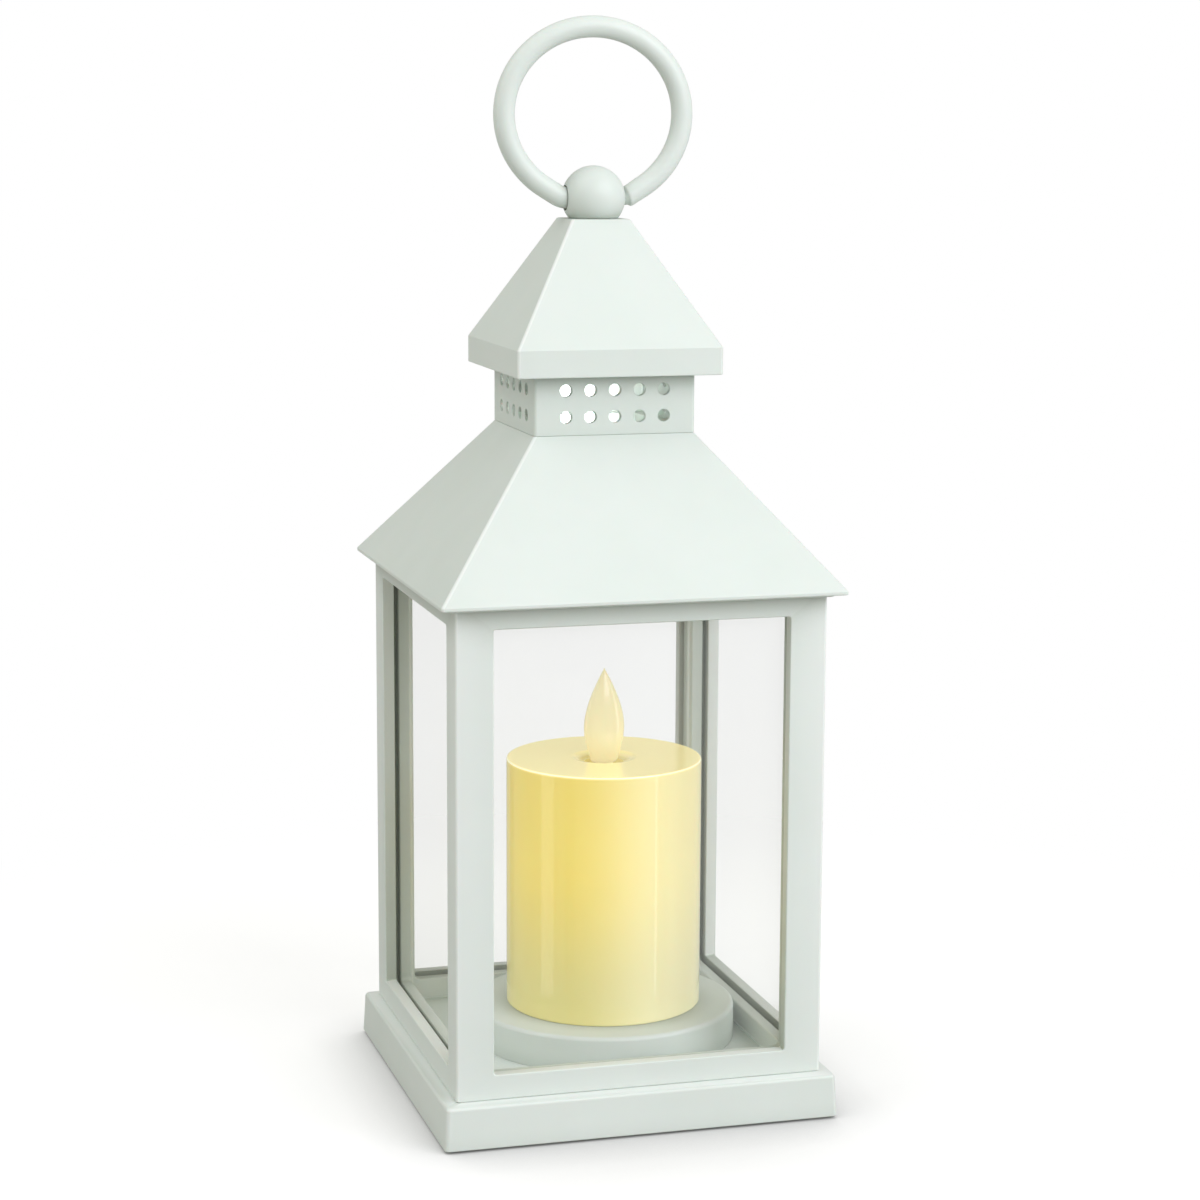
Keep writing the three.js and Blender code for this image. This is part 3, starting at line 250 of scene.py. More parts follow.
def makeGroup(name, inputs, outputs):
    group = bpy.data.node_groups.new(name, "ShaderNodeTree")
    for label, value in inputs.items():
        kind = "NodeSocketColor" if isinstance(value, tuple) else "NodeSocketFloat"
        socket = group.interface.new_socket(label, in_out="INPUT", socket_type=kind)
        socket.default_value = value
    for label, kind in outputs.items():
        group.interface.new_socket(label, in_out="OUTPUT", socket_type="NodeSocket" + kind)
    entry = group.nodes.new("NodeGroupInput")
    leave = group.nodes.new("NodeGroupOutput")
    return group, entry.outputs, leave.inputs


mottle = {"detail": 4, "from": 0.35, "to": 0.65}


def makeMottleGroup(size):
    # slow change of tone over a moulded or cast surface
    group, given, result = makeGroup("toneMottle", {
        "Colour": (0.8, 0.8, 0.8, 1),
        "Deep Colour": (0.7, 0.7, 0.7, 1),
        "Scale": 40.0,
        "Roughness": 0.4,
        "Roughness Change": 0.06,
    }, {"Colour": "Color", "Roughness": "Float"})
    inputs = {"Vector": objectPlace(group), "Scale": given["Scale"], "Detail": size["detail"]}
    broad = addNode(group, "ShaderNodeTexNoise", inputs)
    spread = rangeOver(group, broad.outputs["Fac"], size["from"], size["to"], "LINEAR")
    tone = blendColours(group, spread, given["Colour"], given["Deep Colour"])
    group.links.new(tone, result["Colour"])
    rough = calculate(group, "MULTIPLY_ADD", spread, given["Roughness Change"], given["Roughness"])
    group.links.new(rough, result["Roughness"])
    return group


def makeGrainGroup():
    # fine moulded grain over a slower waviness, as a normal
    group, given, result = makeGroup("surfaceGrain", {
        "Grain Scale": 1500.0,
        "Grain Depth": 0.00001,
        "Wave Scale": 60.0,
        "Wave Depth": 0.00002,
    }, {"Normal": "Vector"})
    place = objectPlace(group)
    normal = {}
    for layer in ("Wave", "Grain"):
        inputs = {"Vector": place, "Scale": given[layer + " Scale"]}
        noise = addNode(group, "ShaderNodeTexNoise", inputs)
        inputs = {"Height": noise.outputs["Fac"], "Distance": given[layer + " Depth"], **normal}
        normal = {"Normal": addNode(group, "ShaderNodeBump", inputs).outputs["Normal"]}
    group.links.new(normal["Normal"], result["Normal"])
    return group


edgeMarks = {
    # where the painted edge highlight shows, and the reach and range of the painted shade in
    # corners and under overhangs
    "edgeFrom": 0.51, "edgeTo": 0.60, "samples": 8,
    "cornerReach": 0.006, "cornerFrom": 0.95, "cornerTo": 0.35,
    "overhangReach": 0.014, "overhangFrom": 0.75, "overhangTo": 0.35,
}


def makeEdgeGroup(size):
    # paler edges as a painted highlight, and painted shade in inner corners and under what hangs
    # over
    group, given, result = makeGroup("edgeTone", {
        "Colour": (0.8, 0.8, 0.8, 1),
        "Edge Colour": (0.9, 0.9, 0.9, 1),
        "Painted Shade Colour": (0.6, 0.6, 0.6, 1),
        "Amount": 0.5,
        "Corner Shade Amount": 0.5,
        "Overhang Shade Amount": 0.0,
    }, {"Colour": "Color"})
    shape = addNode(group, "ShaderNodeNewGeometry").outputs
    near = openness(group, size["samples"], Distance=size["cornerReach"])
    # this one looks half upward, so only what hangs over the surface paints shade on it
    upward = addNode(group, "ShaderNodeVectorMath", {0: shape["Normal"], 1: (0, 0, 1)}).outputs[0]
    above = openness(group, size["samples"], Distance=size["overhangReach"], Normal=upward)
    tone = given["Colour"]
    # painted shade under overhangs and in corners first, then the painted highlight over sharp
    # edges
    for value, mark, other, amount in (
        (above, "overhang", "Painted Shade Colour", "Overhang Shade Amount"),
        (near, "corner", "Painted Shade Colour", "Corner Shade Amount"),
        (shape["Pointiness"], "edge", "Edge Colour", "Amount"),
    ):
        spread = rangeOver(group, value, size[mark + "From"], size[mark + "To"], "LINEAR")
        share = calculate(group, "MULTIPLY", spread, given[amount])
        tone = blendColours(group, share, tone, given[other])
    group.links.new(tone, result["Colour"])
    return group


toneMottle = makeMottleGroup(mottle)
surfaceGrain = makeGrainGroup()
edgeTone = makeEdgeGroup(edgeMarks)


usualLook = {
    "mottleScale": 40.0, "roughnessChange": 0.06,
    # how strong the painted edge highlight, the painted shade in corners and the painted shade
    # under overhangs are
    "edgeAmount": 0.4, "cornerShadeAmount": 0.5, "overhangShadeAmount": 0.0,
    "grainScale": 1500.0, "grainDepth": 0.000008, "waveScale": 60.0, "waveDepth": 0.00002,
    "shader": {},
}


def makeSurface(name, look):
    # base of every finish: mottled tone, edge tone with a painted highlight and painted shade, and
    # grain on one Principled shader
    look = {**usualLook, "edge": look["colour"], "corner": look["deep"], **look}
    material = bpy.data.materials.new(name)
    material.use_nodes = True
    tree = material.node_tree
    shader = tree.nodes["Principled BSDF"]
    toned = addNode(tree, "ShaderNodeGroup", node_tree=toneMottle, inputs={
        "Colour": colour(look["colour"]),
        "Deep Colour": colour(look["deep"]),
        "Scale": look["mottleScale"],
        "Roughness": look["roughness"],
        "Roughness Change": look["roughnessChange"],
    })
    edged = addNode(tree, "ShaderNodeGroup", node_tree=edgeTone, inputs={
        "Colour": toned.outputs["Colour"],
        "Edge Colour": colour(look["edge"]),
        "Painted Shade Colour": colour(look["corner"]),
        "Amount": look["edgeAmount"],
        "Corner Shade Amount": look["cornerShadeAmount"],
        "Overhang Shade Amount": look["overhangShadeAmount"],
    })
    grain = addNode(tree, "ShaderNodeGroup", node_tree=surfaceGrain, inputs={
        "Grain Scale": look["grainScale"],
        "Grain Depth": look["grainDepth"],
        "Wave Scale": look["waveScale"],
        "Wave Depth": look["waveDepth"],
    })
    tree.links.new(edged.outputs["Colour"], shader.inputs["Base Color"])
    tree.links.new(toned.outputs["Roughness"], shader.inputs["Roughness"])
    tree.links.new(grain.outputs["Normal"], shader.inputs["Normal"])
    for socket, value in look["shader"].items():
        shader.inputs[socket].default_value = value
    return material


# finishes

finishes = {
    "shellPlastic": {
        # the paler edge colour is a painted highlight, the darker corner colour painted shade
        "colour": "E3EBE6", "deep": "DEE7E1", "edge": "F8FCFA", "corner": "98A293",
        "edgeAmount": 0.7, "mottleScale": 26.0, "roughness": 0.36, "roughnessChange": 0.08,
        "grainScale": 1800.0, "grainDepth": 0.000006, "waveScale": 40.0, "waveDepth": 0.00002,
        "shader": {"IOR": 1.49, "Subsurface Weight": 0.06, "Subsurface Scale": 0.002},
    },
    "clearPane": {
        "colour": "EEF0EF", "deep": "E8EBEA", "edge": "DCE4E0", "mottleScale": 9.0,
        "roughness": 0.03, "roughnessChange": 0.02,
        "grainDepth": 0.0, "waveScale": 14.0, "waveDepth": 0.00005,
        "shader": {"Alpha": 0.07, "IOR": 1.49},
    },
    "footRubber": {"colour": "CBD0CA", "deep": "BFC5BE", "roughness": 0.8, "grainDepth": 0.00003},
    "coreMoulding": {"colour": "EFEBDD", "deep": "E6E1D0", "roughness": 0.5},
    "blackMoulding": {"colour": "26282A", "deep": "1F2123", "edge": "3A3D40", "roughness": 0.5},
    "boardLaminate": {"colour": "2F6B45", "deep": "285D3B", "edge": "B9B38A", "roughness": 0.45},
    "leadSleeve": {"colour": "DAD6CA", "deep": "CFCABB", "roughness": 0.55},
    "zincSteel": {
        "colour": "C4C6C8", "deep": "B4B7BA", "edge": "DDDFE0", "roughness": 0.28,
        "grainDepth": 0.00001, "shader": {"Metallic": 1.0},
    },
    "nickelPlate": {
        "colour": "D5D3CE", "deep": "C9C6BF", "edge": "E8E6E1", "roughness": 0.18,
        "shader": {"Metallic": 1.0},
    },
}
# without the painted edge highlights, which would run far over the long faces beside small openings
finishes["plainShellPlastic"] = {**finishes["shellPlastic"], "edgeAmount": 0.0}
# more painted shade under the roof's eave, less painted shade in the other inner corners
finishes["framePlastic"] = {
    **finishes["shellPlastic"], "cornerShadeAmount": 0.3, "overhangShadeAmount": 0.85,
}
# less painted shade in the plinth's inner corners
finishes["plinthPlastic"] = {**finishes["shellPlastic"], "cornerShadeAmount": 0.25}
surfaces = {name: makeSurface(name, look) for name, look in finishes.items()}


def seenGlow(tree, glow, spill):
    # full glow where it is looked at or mirrored, and only a share of it on the pieces around
    rays = addNode(tree, "ShaderNodeLightPath").outputs
    seen = calculate(tree, "MAXIMUM", rays["Is Camera Ray"], rays["Is Glossy Ray"])
    spilled = blendColours(tree, seen, (0, 0, 0, 1), glow)
    return blendColours(tree, spill, spilled, glow)


def blendBase(tree, factor, hexText):
    # one more colour over what feeds the base colour so far
    base = tree.nodes["Principled BSDF"].inputs["Base Color"]
    blended = blendColours(tree, factor, base.links[0].from_socket, colour(hexText))
    tree.links.new(blended, base)


wax = {
    "colour": "DEC851", "deep": "D8C04A", "edge": "F6F0CE", "corner": "C9B765", "edgeAmount": 0.3,
    "mottleScale": 38.0, "roughness": 0.34, "roughnessChange": 0.07,
    "grainScale": 900.0, "grainDepth": 0.000004, "waveScale": 50.0, "waveDepth": 0.00002,
    "shader": {
        "IOR": 1.45, "Subsurface Weight": 0.3, "Subsurface Scale": 0.004,
        "Coat Weight": 1.0, "Coat Roughness": 0.015, "Emission Strength": 0.8,
    },
    # where it changes tone, in metres: paler to one side and on top as painted light, and darker at
    # the foot
    "across": (0.961, -0.275, 0), "acrossFrom": -0.0057, "acrossTo": 0.0232,
    "footLow": 0.026, "footHigh": 0.064, "topLow": 0.0873, "topHigh": 0.0882,
    # the painted highlight on the rim, by how far its normal leans
    "rimLean": 0.6, "rimFrom": 0.34, "rimTo": 0.12,
    "paintedLitSide": "E7DCA0", "foot": "C2B86A", "paintedLitSideFoot": "D6D0A1", "top": "E4D896", "rim": "FBF4D2",
    # the same places in the painted glow of the wax, and how much of it falls on other pieces
    "glow": "C3AF46", "glowPale": "CBC18D", "glowFoot": "ABA25D", "glowPaleFoot": "BCB68E",
    "glowTop": "EFDD8E", "glowRim": "ECE3BC", "spill": 0.3,
}


def markWax(tree, look):
    # painted light on the wax: the side the lamps light most and the top are paler, and the rim
    # gets a painted highlight; the foot is darker
    place = objectPlace(tree)
    across = addNode(tree, "ShaderNodeVectorMath", {0: place, 1: look["across"]},
                     operation="DOT_PRODUCT")
    pale = rangeOver(tree, across.outputs["Value"], look["acrossFrom"], look["acrossTo"])
    height = axesOf(tree, place)["Z"]
    foot = rangeOver(tree, height, look["footHigh"], look["footLow"])
    top = rangeOver(tree, height, look["topLow"], look["topHigh"])
    # the painted rim highlight: the rounded rim is the only place high up whose normal leans about
    # halfway
    normal = addNode(tree, "ShaderNodeNewGeometry").outputs["Normal"]
    offLean = calculate(tree, "SUBTRACT", axesOf(tree, normal)["Z"], look["rimLean"])
    rim = rangeOver(tree, calculate(tree, "ABSOLUTE", offLean), look["rimFrom"], look["rimTo"])

    def shade(tones, left):
        right, footLeft, footRight, upper, paintedRimHighlight = [colour(look[tone]) for tone in tones]
        upright = blendColours(tree, pale, left, right)
        low = blendColours(tree, pale, footLeft, footRight)
        mixed = blendColours(tree, foot, upright, low)
        return blendColours(tree, rim, blendColours(tree, top, mixed, upper), paintedRimHighlight)

    shader = tree.nodes["Principled BSDF"].inputs
    toned = shader["Base Color"].links[0].from_socket
    shaded = shade(("paintedLitSide", "foot", "paintedLitSideFoot", "top", "rim"), toned)
    tree.links.new(shaded, shader["Base Color"])
    # the wax glows though it is no lamp: a painted glow, with the same painted lit side, top and
    # rim
    glowTones = ("glowPale", "glowFoot", "glowPaleFoot", "glowTop", "glowRim")
    glow = seenGlow(tree, shade(glowTones, colour(look["glow"])), look["spill"])
    tree.links.new(glow, shader["Emission Color"])


flameLook = {
    "colour": "EAE2BC", "deep": "E6DDB2", "edge": "F8F4DC", "mottleScale": 60.0, "roughness": 0.22,
    "grainDepth": 0.000004, "waveDepth": 0.00003,
    "shader": {
        "IOR": 1.49, "Subsurface Weight": 0.4, "Subsurface Scale": 0.003,
        "Coat Weight": 0.9, "Coat Roughness": 0.05, "Emission Strength": 0.5,
    },
    "warmFoot": "EADCA0", "footLow": 0.086, "footHigh": 0.097, "glow": "F4E6AE", "spill": 0.3,
}


def markFlame(tree, look):
    height = axesOf(tree, objectPlace(tree))["Z"]
    blendBase(tree, rangeOver(tree, height, look["footHigh"], look["footLow"]), look["warmFoot"])
    glow = seenGlow(tree, colour(look["glow"]), look["spill"])
    tree.links.new(glow, tree.nodes["Principled BSDF"].inputs["Emission Color"])


winding = {
    "colour": "B8703F", "deep": "A86236", "edge": "D08A58", "roughness": 0.3,
    "shader": {"Metallic": 0.85}, "turnsScale": 2600.0, "turnDepth": 0.00012,
}


def markWinding(tree, look):
    inputs = {"Vector": objectPlace(tree), "Scale": look["turnsScale"]}
    turns = addNode(tree, "ShaderNodeTexWave", inputs, bands_direction="Z")
    inputs = {"Height": turns.outputs["Fac"], "Distance": look["turnDepth"]}
    bump = addNode(tree, "ShaderNodeBump", inputs)
    tree.links.new(bump.outputs["Normal"], tree.nodes["Principled BSDF"].inputs["Normal"])


cell = {
    "colour": "2F5C8F", "deep": "2A5483", "roughness": 0.3, "shader": {"Metallic": 0.2},
    "band": "C9CCCE", "bandStart": 0.0125, "bandEnd": 0.0129,
}


def markCell(tree, look):
    along = axesOf(tree, objectPlace(tree))["X"]
    blendBase(tree, rangeOver(tree, along, look["bandStart"], look["bandEnd"]), look["band"])


for name, look, addMarks in (
    ("candleWax", wax, markWax),
    ("flameMoulding", flameLook, markFlame),
    ("copperWinding", winding, markWinding),
    ("cellSleeve", cell, markCell),
):
    surfaces[name] = makeSurface(name, look)
    addMarks(surfaces[name].node_tree, look)
print("finishes made:", len(surfaces))


# plinth

plinth = {
    "half": 52.5, "topHalf": 51.95, "bottom": 0.6, "top": 11.7, "wall": 2.0, "topRadius": 0.9,
    "ledgeHalf": 48.9, "ledgeTop": 12.0, "floorHalf": 40.6, "floor": 11.4, "planRadius": 1.2,
    "cavityTop": 9.4, "cavityDraft": 0.55,
    "mouthRadius": 33.2, "mouthX": 3.6, "mouthLow": 5, "mouthHigh": 15,
}


def makePlinth(size):
    inner = size["half"] - size["wall"]
    # from the ceiling of the cavity down, round the outside and up to the floor inside
    profile = roundCorners([
        (inner - size["cavityDraft"], size["cavityTop"], 0.0),
        (inner, size["bottom"], 0.2),
        (size["half"], size["bottom"], 0.35),
        (size["topHalf"], size["top"], size["topRadius"]),
        (size["ledgeHalf"], size["ledgeTop"], 0.05),
        (size["floorHalf"], size["ledgeTop"], 0.2),
        (size["floorHalf"], size["floor"], 0.0),
    ])
    loops = [squareLoop(half, z, size["planRadius"]) for half, z in profile]
    piece = makePiece("plinthMoulding", skin(loops))
    ends = (size["mouthLow"], size["mouthHigh"])
    mouth = skin([roundLoop(size["mouthRadius"], z, size["mouthX"]) for z in ends])
    cutAway(piece, [makePiece("mouthCutter", mouth)])
    return piece


dress(makePlinth(plinth), surfaces["plinthPlastic"], "lantern", "shell_plastic", "plinth")


# body frame: four walls with a window, a pane slot and a bead each

bodyFrame = {
    "half": 48.6, "bottom": 12.0, "top": 140.0, "planRadius": 0.7, "chamberHalf": 40.9,
    "windowHalf": 38.8, "windowLow": 18.5, "windowHigh": 132.9, "edgeRadius": 0.4, "edgeSteps": 4,
    "cornerRadius": 0.6, "cornerLeast": 0.05, "cornerSteps": 3, "footBevel": 0.3,
    "flange": 3.2, "flangeEdge": 0.2, "slot": 1.3, "slotReach": 3.3,
    "beadStep": 1.0, "beadEdge": 0.25,
}


def windowLoop(size, grow, y):
    halfX = size["windowHalf"] + grow
    low, high = size["windowLow"] - grow, size["windowHigh"] + grow
    radius = max(size["cornerRadius"] + grow, size["cornerLeast"])
    corners = [(1, high, 1), (-1, high, 1), (-1, low, -1), (1, low, -1)]
    loop = []
    for turn, (sx, end, sz) in enumerate(corners):
        for i in range(size["cornerSteps"] + 1):
            angle = math.pi / 2 * (turn + i / size["cornerSteps"])
            x = sx * (halfX - radius) + radius * math.cos(angle)
            z = end - sz * radius + radius * math.sin(angle)
            loop.append((x, y, z))
    return loop


def wallEdge(size, half, low):
    # each corner as often as a window's corner has points, so that the two loops can be joined
    x, y, high = half - size["planRadius"], -half, size["top"]
    corners = [(x, y, high), (-x, y, high), (-x, y, low), (x, y, low)]
    return [corner for corner in corners for i in range(size["cornerSteps"] + 1)]


def cornerStrips(size, half, low):
    # the upright rounded corners between the four walls
    bottom, top = [squareLoop(half, z, size["planRadius"]) for z in (low, size["top"])]
    count = len(bottom) // 4
    faces = [(i, i + 1, i + 1 + count, i + count) for i in range(count - 1)]
    arcs = [slice(turn * count, (turn + 1) * count) for turn in range(4)]
    return [(bottom[arc] + top[arc], faces) for arc in arcs]


def makeBodyFrame(size):
    outer, inner = -size["half"], -size["chamberHalf"]
    slotOuter = outer + size["flange"]
    slotInner = slotOuter + size["slot"]
    edge, bead, beadEdge = size["edgeRadius"], size["beadStep"], size["beadEdge"]
    footTop = size["bottom"] + size["footBevel"]
    loops = [wallEdge(size, size["half"], footTop)]
    for i in range(size["edgeSteps"] + 1):
        angle = math.pi / 2 * i / size["edgeSteps"]
        grow = edge * (1 - math.sin(angle))
        loops.append(windowLoop(size, grow, outer + edge * (1 - math.cos(angle))))
    for grow, y in (
        (0, slotOuter - size["flangeEdge"]),
        (size["flangeEdge"], slotOuter),
        (size["slotReach"], slotOuter),
        (size["slotReach"], slotInner),
        (bead + beadEdge, slotInner),
        (bead, slotInner + beadEdge),
        (bead, inner - beadEdge),
        (bead + beadEdge, inner),
    ):
        loops.append(windowLoop(size, grow, y))
    loops.append(wallEdge(size, size["chamberHalf"], size["bottom"]))
    wall = skin(loops, ends=False)
    parts = [turnPart(wall, turn) for turn in range(4)]
    parts += cornerStrips(size, size["half"], footTop)
    parts += cornerStrips(size, size["chamberHalf"], size["bottom"])
    foot = [
        (size["half"], footTop),
        (size["half"] - size["footBevel"], size["bottom"]),
        (size["chamberHalf"], size["bottom"]),
    ]
    head = [(size["half"], size["top"]), (size["chamberHalf"], size["top"])]
    for band in (foot, head):
        loops = [squareLoop(half, z, size["planRadius"]) for half, z in band]
        parts.append(skin(loops, ends=False))
    return makePiece("bodyFrameMoulding", *parts)


dress(makeBodyFrame(bodyFrame), surfaces["framePlastic"], "lantern", "shell_plastic", "body_frame")
print("plinth and body frame built")


# roof, vent collar and cap

roof = {
    "eaveHalf": 52.9, "eave": 138.5, "slopeStart": 139.5, "top": 177.4, "topHalf": 21.4,
    "planRadius": 0.9, "neckHalf": 18.4, "neck": 174.9, "neckUnder": 20.61,
    "recessHalf": 48.9, "recess": 140.87, "rimHalf": 50.1, "rim": 137.8,
    "ribPlaces": (-24, 0, 24), "ribInner": 41.6, "ribFoot": 140.0, "ribTop": 149.9, "ribHalf": 0.8,
    "ribOverlap": 0.3, "bossPlace": 45.0, "bossRadius": 3.2, "bossTop": 144.6, "bossSides": 24,
}


def makeRoof(size):
    shell = squareTurned([
        (size["rimHalf"], size["eave"], 0.05),
        (size["eaveHalf"], size["eave"], 0.4),
        (size["eaveHalf"], size["slopeStart"], 0.45),
        (size["topHalf"], size["top"], 0.25),
        (size["neckHalf"], size["top"], 0.0),
        (size["neckHalf"], size["neck"], 0.0),
        (size["neckUnder"], size["neck"], 0.0),
        (size["recessHalf"], size["recess"], 0.0),
        (size["recessHalf"], size["rim"], 0.1),
        (size["rimHalf"], size["rim"], 0.25),
    ], size["planRadius"])
    ribOuter = size["recessHalf"] + size["ribOverlap"]
    ribOutline = [
        (-size["ribInner"], size["ribFoot"]),
        (-ribOuter, size["ribFoot"]),
        (-ribOuter, size["recess"]),
        (-size["ribInner"], size["ribTop"]),
    ]
    parts = [shell]
    for place in size["ribPlaces"]:
        rib = prism(ribOutline, place - size["ribHalf"], place + size["ribHalf"])
        parts += [turnPart(rib, turn) for turn in range(4)]
    ends = (size["ribFoot"], size["bossTop"])
    boss = skin([roundLoop(size["bossRadius"], z, sides=size["bossSides"]) for z in ends])
    for x in (-size["bossPlace"], size["bossPlace"]):
        parts += [movePart(boss, x, y) for y in (-size["bossPlace"], size["bossPlace"])]
    return makePiece("roofMoulding", *parts)


dress(makeRoof(roof), surfaces["shellPlastic"], "lantern", "shell_plastic", "roof")

ventCollar = {
    "half": 21.4, "wall": 1.6, "bottom": 177.4, "top": 197.5, "planRadius": 0.8, "shoulder": 179.0,
    "spigotHalf": 18.1, "spigotWall": 1.6, "spigotBottom": 173.9,
    "holeRadius": 1.6, "holePitch": 6.5, "columns": 5, "rows": (182.1, 188.9), "holeEdge": 0.2,
    "holeSides": 36, "drillReach": 30,
}


def makeVentCollar(size):
    inner = size["half"] - size["wall"]
    spigotInner = size["spigotHalf"] - size["spigotWall"]
    piece = makePiece("ventCollarMoulding", squareTurned([
        (size["spigotHalf"], size["spigotBottom"], 0.3),
        (size["spigotHalf"], size["bottom"], 0.0),
        (size["half"], size["bottom"], 0.2),
        (size["half"], size["top"], 0.2),
        (inner, size["top"], 0.2),
        (inner, size["shoulder"], 0.0),
        (spigotInner, size["shoulder"], 0.2),
        (spigotInner, size["spigotBottom"], 0.2),
    ], size["planRadius"]))
    drilled = []
    for height in size["rows"]:
        for k in range(size["columns"]):
            column = (k - (size["columns"] - 1) / 2) * size["holePitch"]
            circle = roundLoop(size["holeRadius"], 0, column, size["holeSides"])
            ends = (-size["drillReach"], size["drillReach"])
            drilled.append(skin([[(x, y, height + z) for x, z, level in circle] for y in ends]))
    drills = []
    for turn in range(2):
        parts = [turnPart(part, turn) for part in drilled]
        drills.append(makePiece("ventDrill", *parts))
    cutAway(piece, drills, size["holeEdge"])
    return piece


collar = makeVentCollar(ventCollar)
dress(collar, surfaces["plainShellPlastic"], "lantern", "shell_plastic", "vent_collar")

cap = {
    "half": 27.2, "bottom": 192.7, "skirtTop": 199.7, "topHalf": 7.8, "top": 231.7, "wall": 1.8,
    "holeHalf": 3.8, "ceiling": 229.3, "ceilingHalf": 7.15, "innerSkirt": 199.2, "planRadius": 0.8,
    "socketHalf": 21.7, "socketWall": 1.6, "socketBottom": 194.3, "socketTop": 203.6,
    "shoulder": 197.5, "shoulderHalf": 20.0,
}


def makeCap(size):
    inner = size["half"] - size["wall"]
    shell = squareTurned([
        (size["holeHalf"], size["ceiling"], 0.0),
        (size["ceilingHalf"], size["ceiling"], 0.0),
        (inner, size["innerSkirt"], 0.0),
        (inner, size["bottom"], 0.25),
        (size["half"], size["bottom"], 0.3),
        (size["half"], size["skirtTop"], 0.35),
        (size["topHalf"], size["top"], 0.5),
        (size["holeHalf"], size["top"], 0.0),
    ], size["planRadius"])
    outer = size["socketHalf"] + size["socketWall"]
    socket = squareTurned([
        (size["socketHalf"], size["socketBottom"], 0.2),
        (outer, size["socketBottom"], 0.2),
        (outer, size["socketTop"], 0.0),
        (size["shoulderHalf"], size["socketTop"], 0.0),
        (size["shoulderHalf"], size["shoulder"], 0.2),
        (size["socketHalf"], size["shoulder"], 0.0),
    ], size["planRadius"])
    return makePiece("capMoulding", shell, socket)


dress(makeCap(cap), surfaces["shellPlastic"], "lantern", "shell_plastic", "cap")
print("roof, vent collar and cap built")


# ball and ring

ball = {
    "radius": 8.3, "z": 237.0, "seat": 231.7, "seatRadius": 0.35,
    "stubRadius": 3.4, "stubBottom": 229.6, "wideSocket": 3.3, "neckSocket": 2.3,
    "socketEnd": 4.0, "socketOut": 12.0, "socketEdge": 0.12, "socketSides": 48,
    # the rows start this angle above the seat
    "rowAngle": 0.03, "rows": 40,
}


def makeBall(size):
    low = math.asin((size["seat"] - size["z"]) / size["radius"])
    loops = [
        roundLoop(0.0, size["stubBottom"]),
        roundLoop(size["stubRadius"], size["stubBottom"]),
        roundLoop(size["stubRadius"], size["seat"]),
        roundLoop(size["radius"] * math.cos(low) - size["seatRadius"], size["seat"]),
    ]
    start = low + size["rowAngle"]
    for i in range(size["rows"] + 1):
        angle = start + (math.pi / 2 - start) * i / size["rows"]
        height = size["z"] + size["radius"] * math.sin(angle)
        loops.append(roundLoop(size["radius"] * math.cos(angle), height))
    piece = makePiece("finialBall", skin(loops, ends=False))
    cutters = []
    for side, radius in ((-1, size["wideSocket"]), (1, size["neckSocket"])):
        circle = roundLoop(radius, 0, sides=size["socketSides"])
        outline = [(y, size["z"] + z) for y, z, level in circle]
        ends = sorted((side * size["socketEnd"], side * size["socketOut"]))
        cutters.append(makePiece("socketCutter", prism(outline, *ends)))
    cutAway(piece, cutters, size["socketEdge"])
    return piece


dress(makeBall(ball), surfaces["shellPlastic"], "lantern", "shell_plastic", "finial_ball")

ring = {
    "rodRadius": 2.8, "halfWidth": 23.9, "halfHeight": 22.3, "pinZ": 237.0, "centreZ": 258.4,
    "joinReach": 13.0, "filletReach": 1.5, "sides": 32, "bendSteps": 8, "arcSteps": 60,
    "pinEnd": 4.3, "faceX": 9.1, "faceRise": 0.4, "faceLean": 16.7, "rodClear": 1.1, "rodAbove": 8,
    # how far back from the tip or the face, and how much thinner there
    "tipSteps": ((0.0, 0.4), (0.12, 0.12), (0.4, 0.0)),
    "faceSteps": ((0.6, 0.0), (0.25, 0.04), (0.0, 0.16), (-0.18, 0.32), (-0.6, 0.6)),
    # x, rise and radius along the neck
    "neckSteps": ((8.1, 0.08, 2.05), (4.6, 0.0, 2.0), (4.3, 0.0, 1.7)),
}


def ringHalfLine(size):
    # centre line from the pin to the top of the ring, in its own plane
    share = size["joinReach"] / size["halfWidth"]
    drop = math.sqrt(1 - share * share)
    joinZ = size["centreZ"] - size["halfHeight"] * drop
    slope = size["halfHeight"] / size["halfWidth"] * share / drop
    bendX = size["joinReach"] - (joinZ - size["pinZ"]) / slope
    bendAngle = math.atan(slope)
    bendRadius = size["filletReach"] / math.tan(bendAngle / 2)
    line = []
    for i in range(size["bendSteps"] + 1):
        angle = bendAngle * i / size["bendSteps"]
        x = bendX - size["filletReach"] + bendRadius * math.sin(angle)
        line.append(Vector((x, size["pinZ"] + bendRadius * (1 - math.cos(angle)))))
    start = math.asin(share)
    for i in range(size["arcSteps"] + 1):
        angle = start + (math.pi - start) * i / size["arcSteps"]
        x = size["halfWidth"] * math.sin(angle)
        line.append(Vector((x, size["centreZ"] - size["halfHeight"] * math.cos(angle))))
    return line


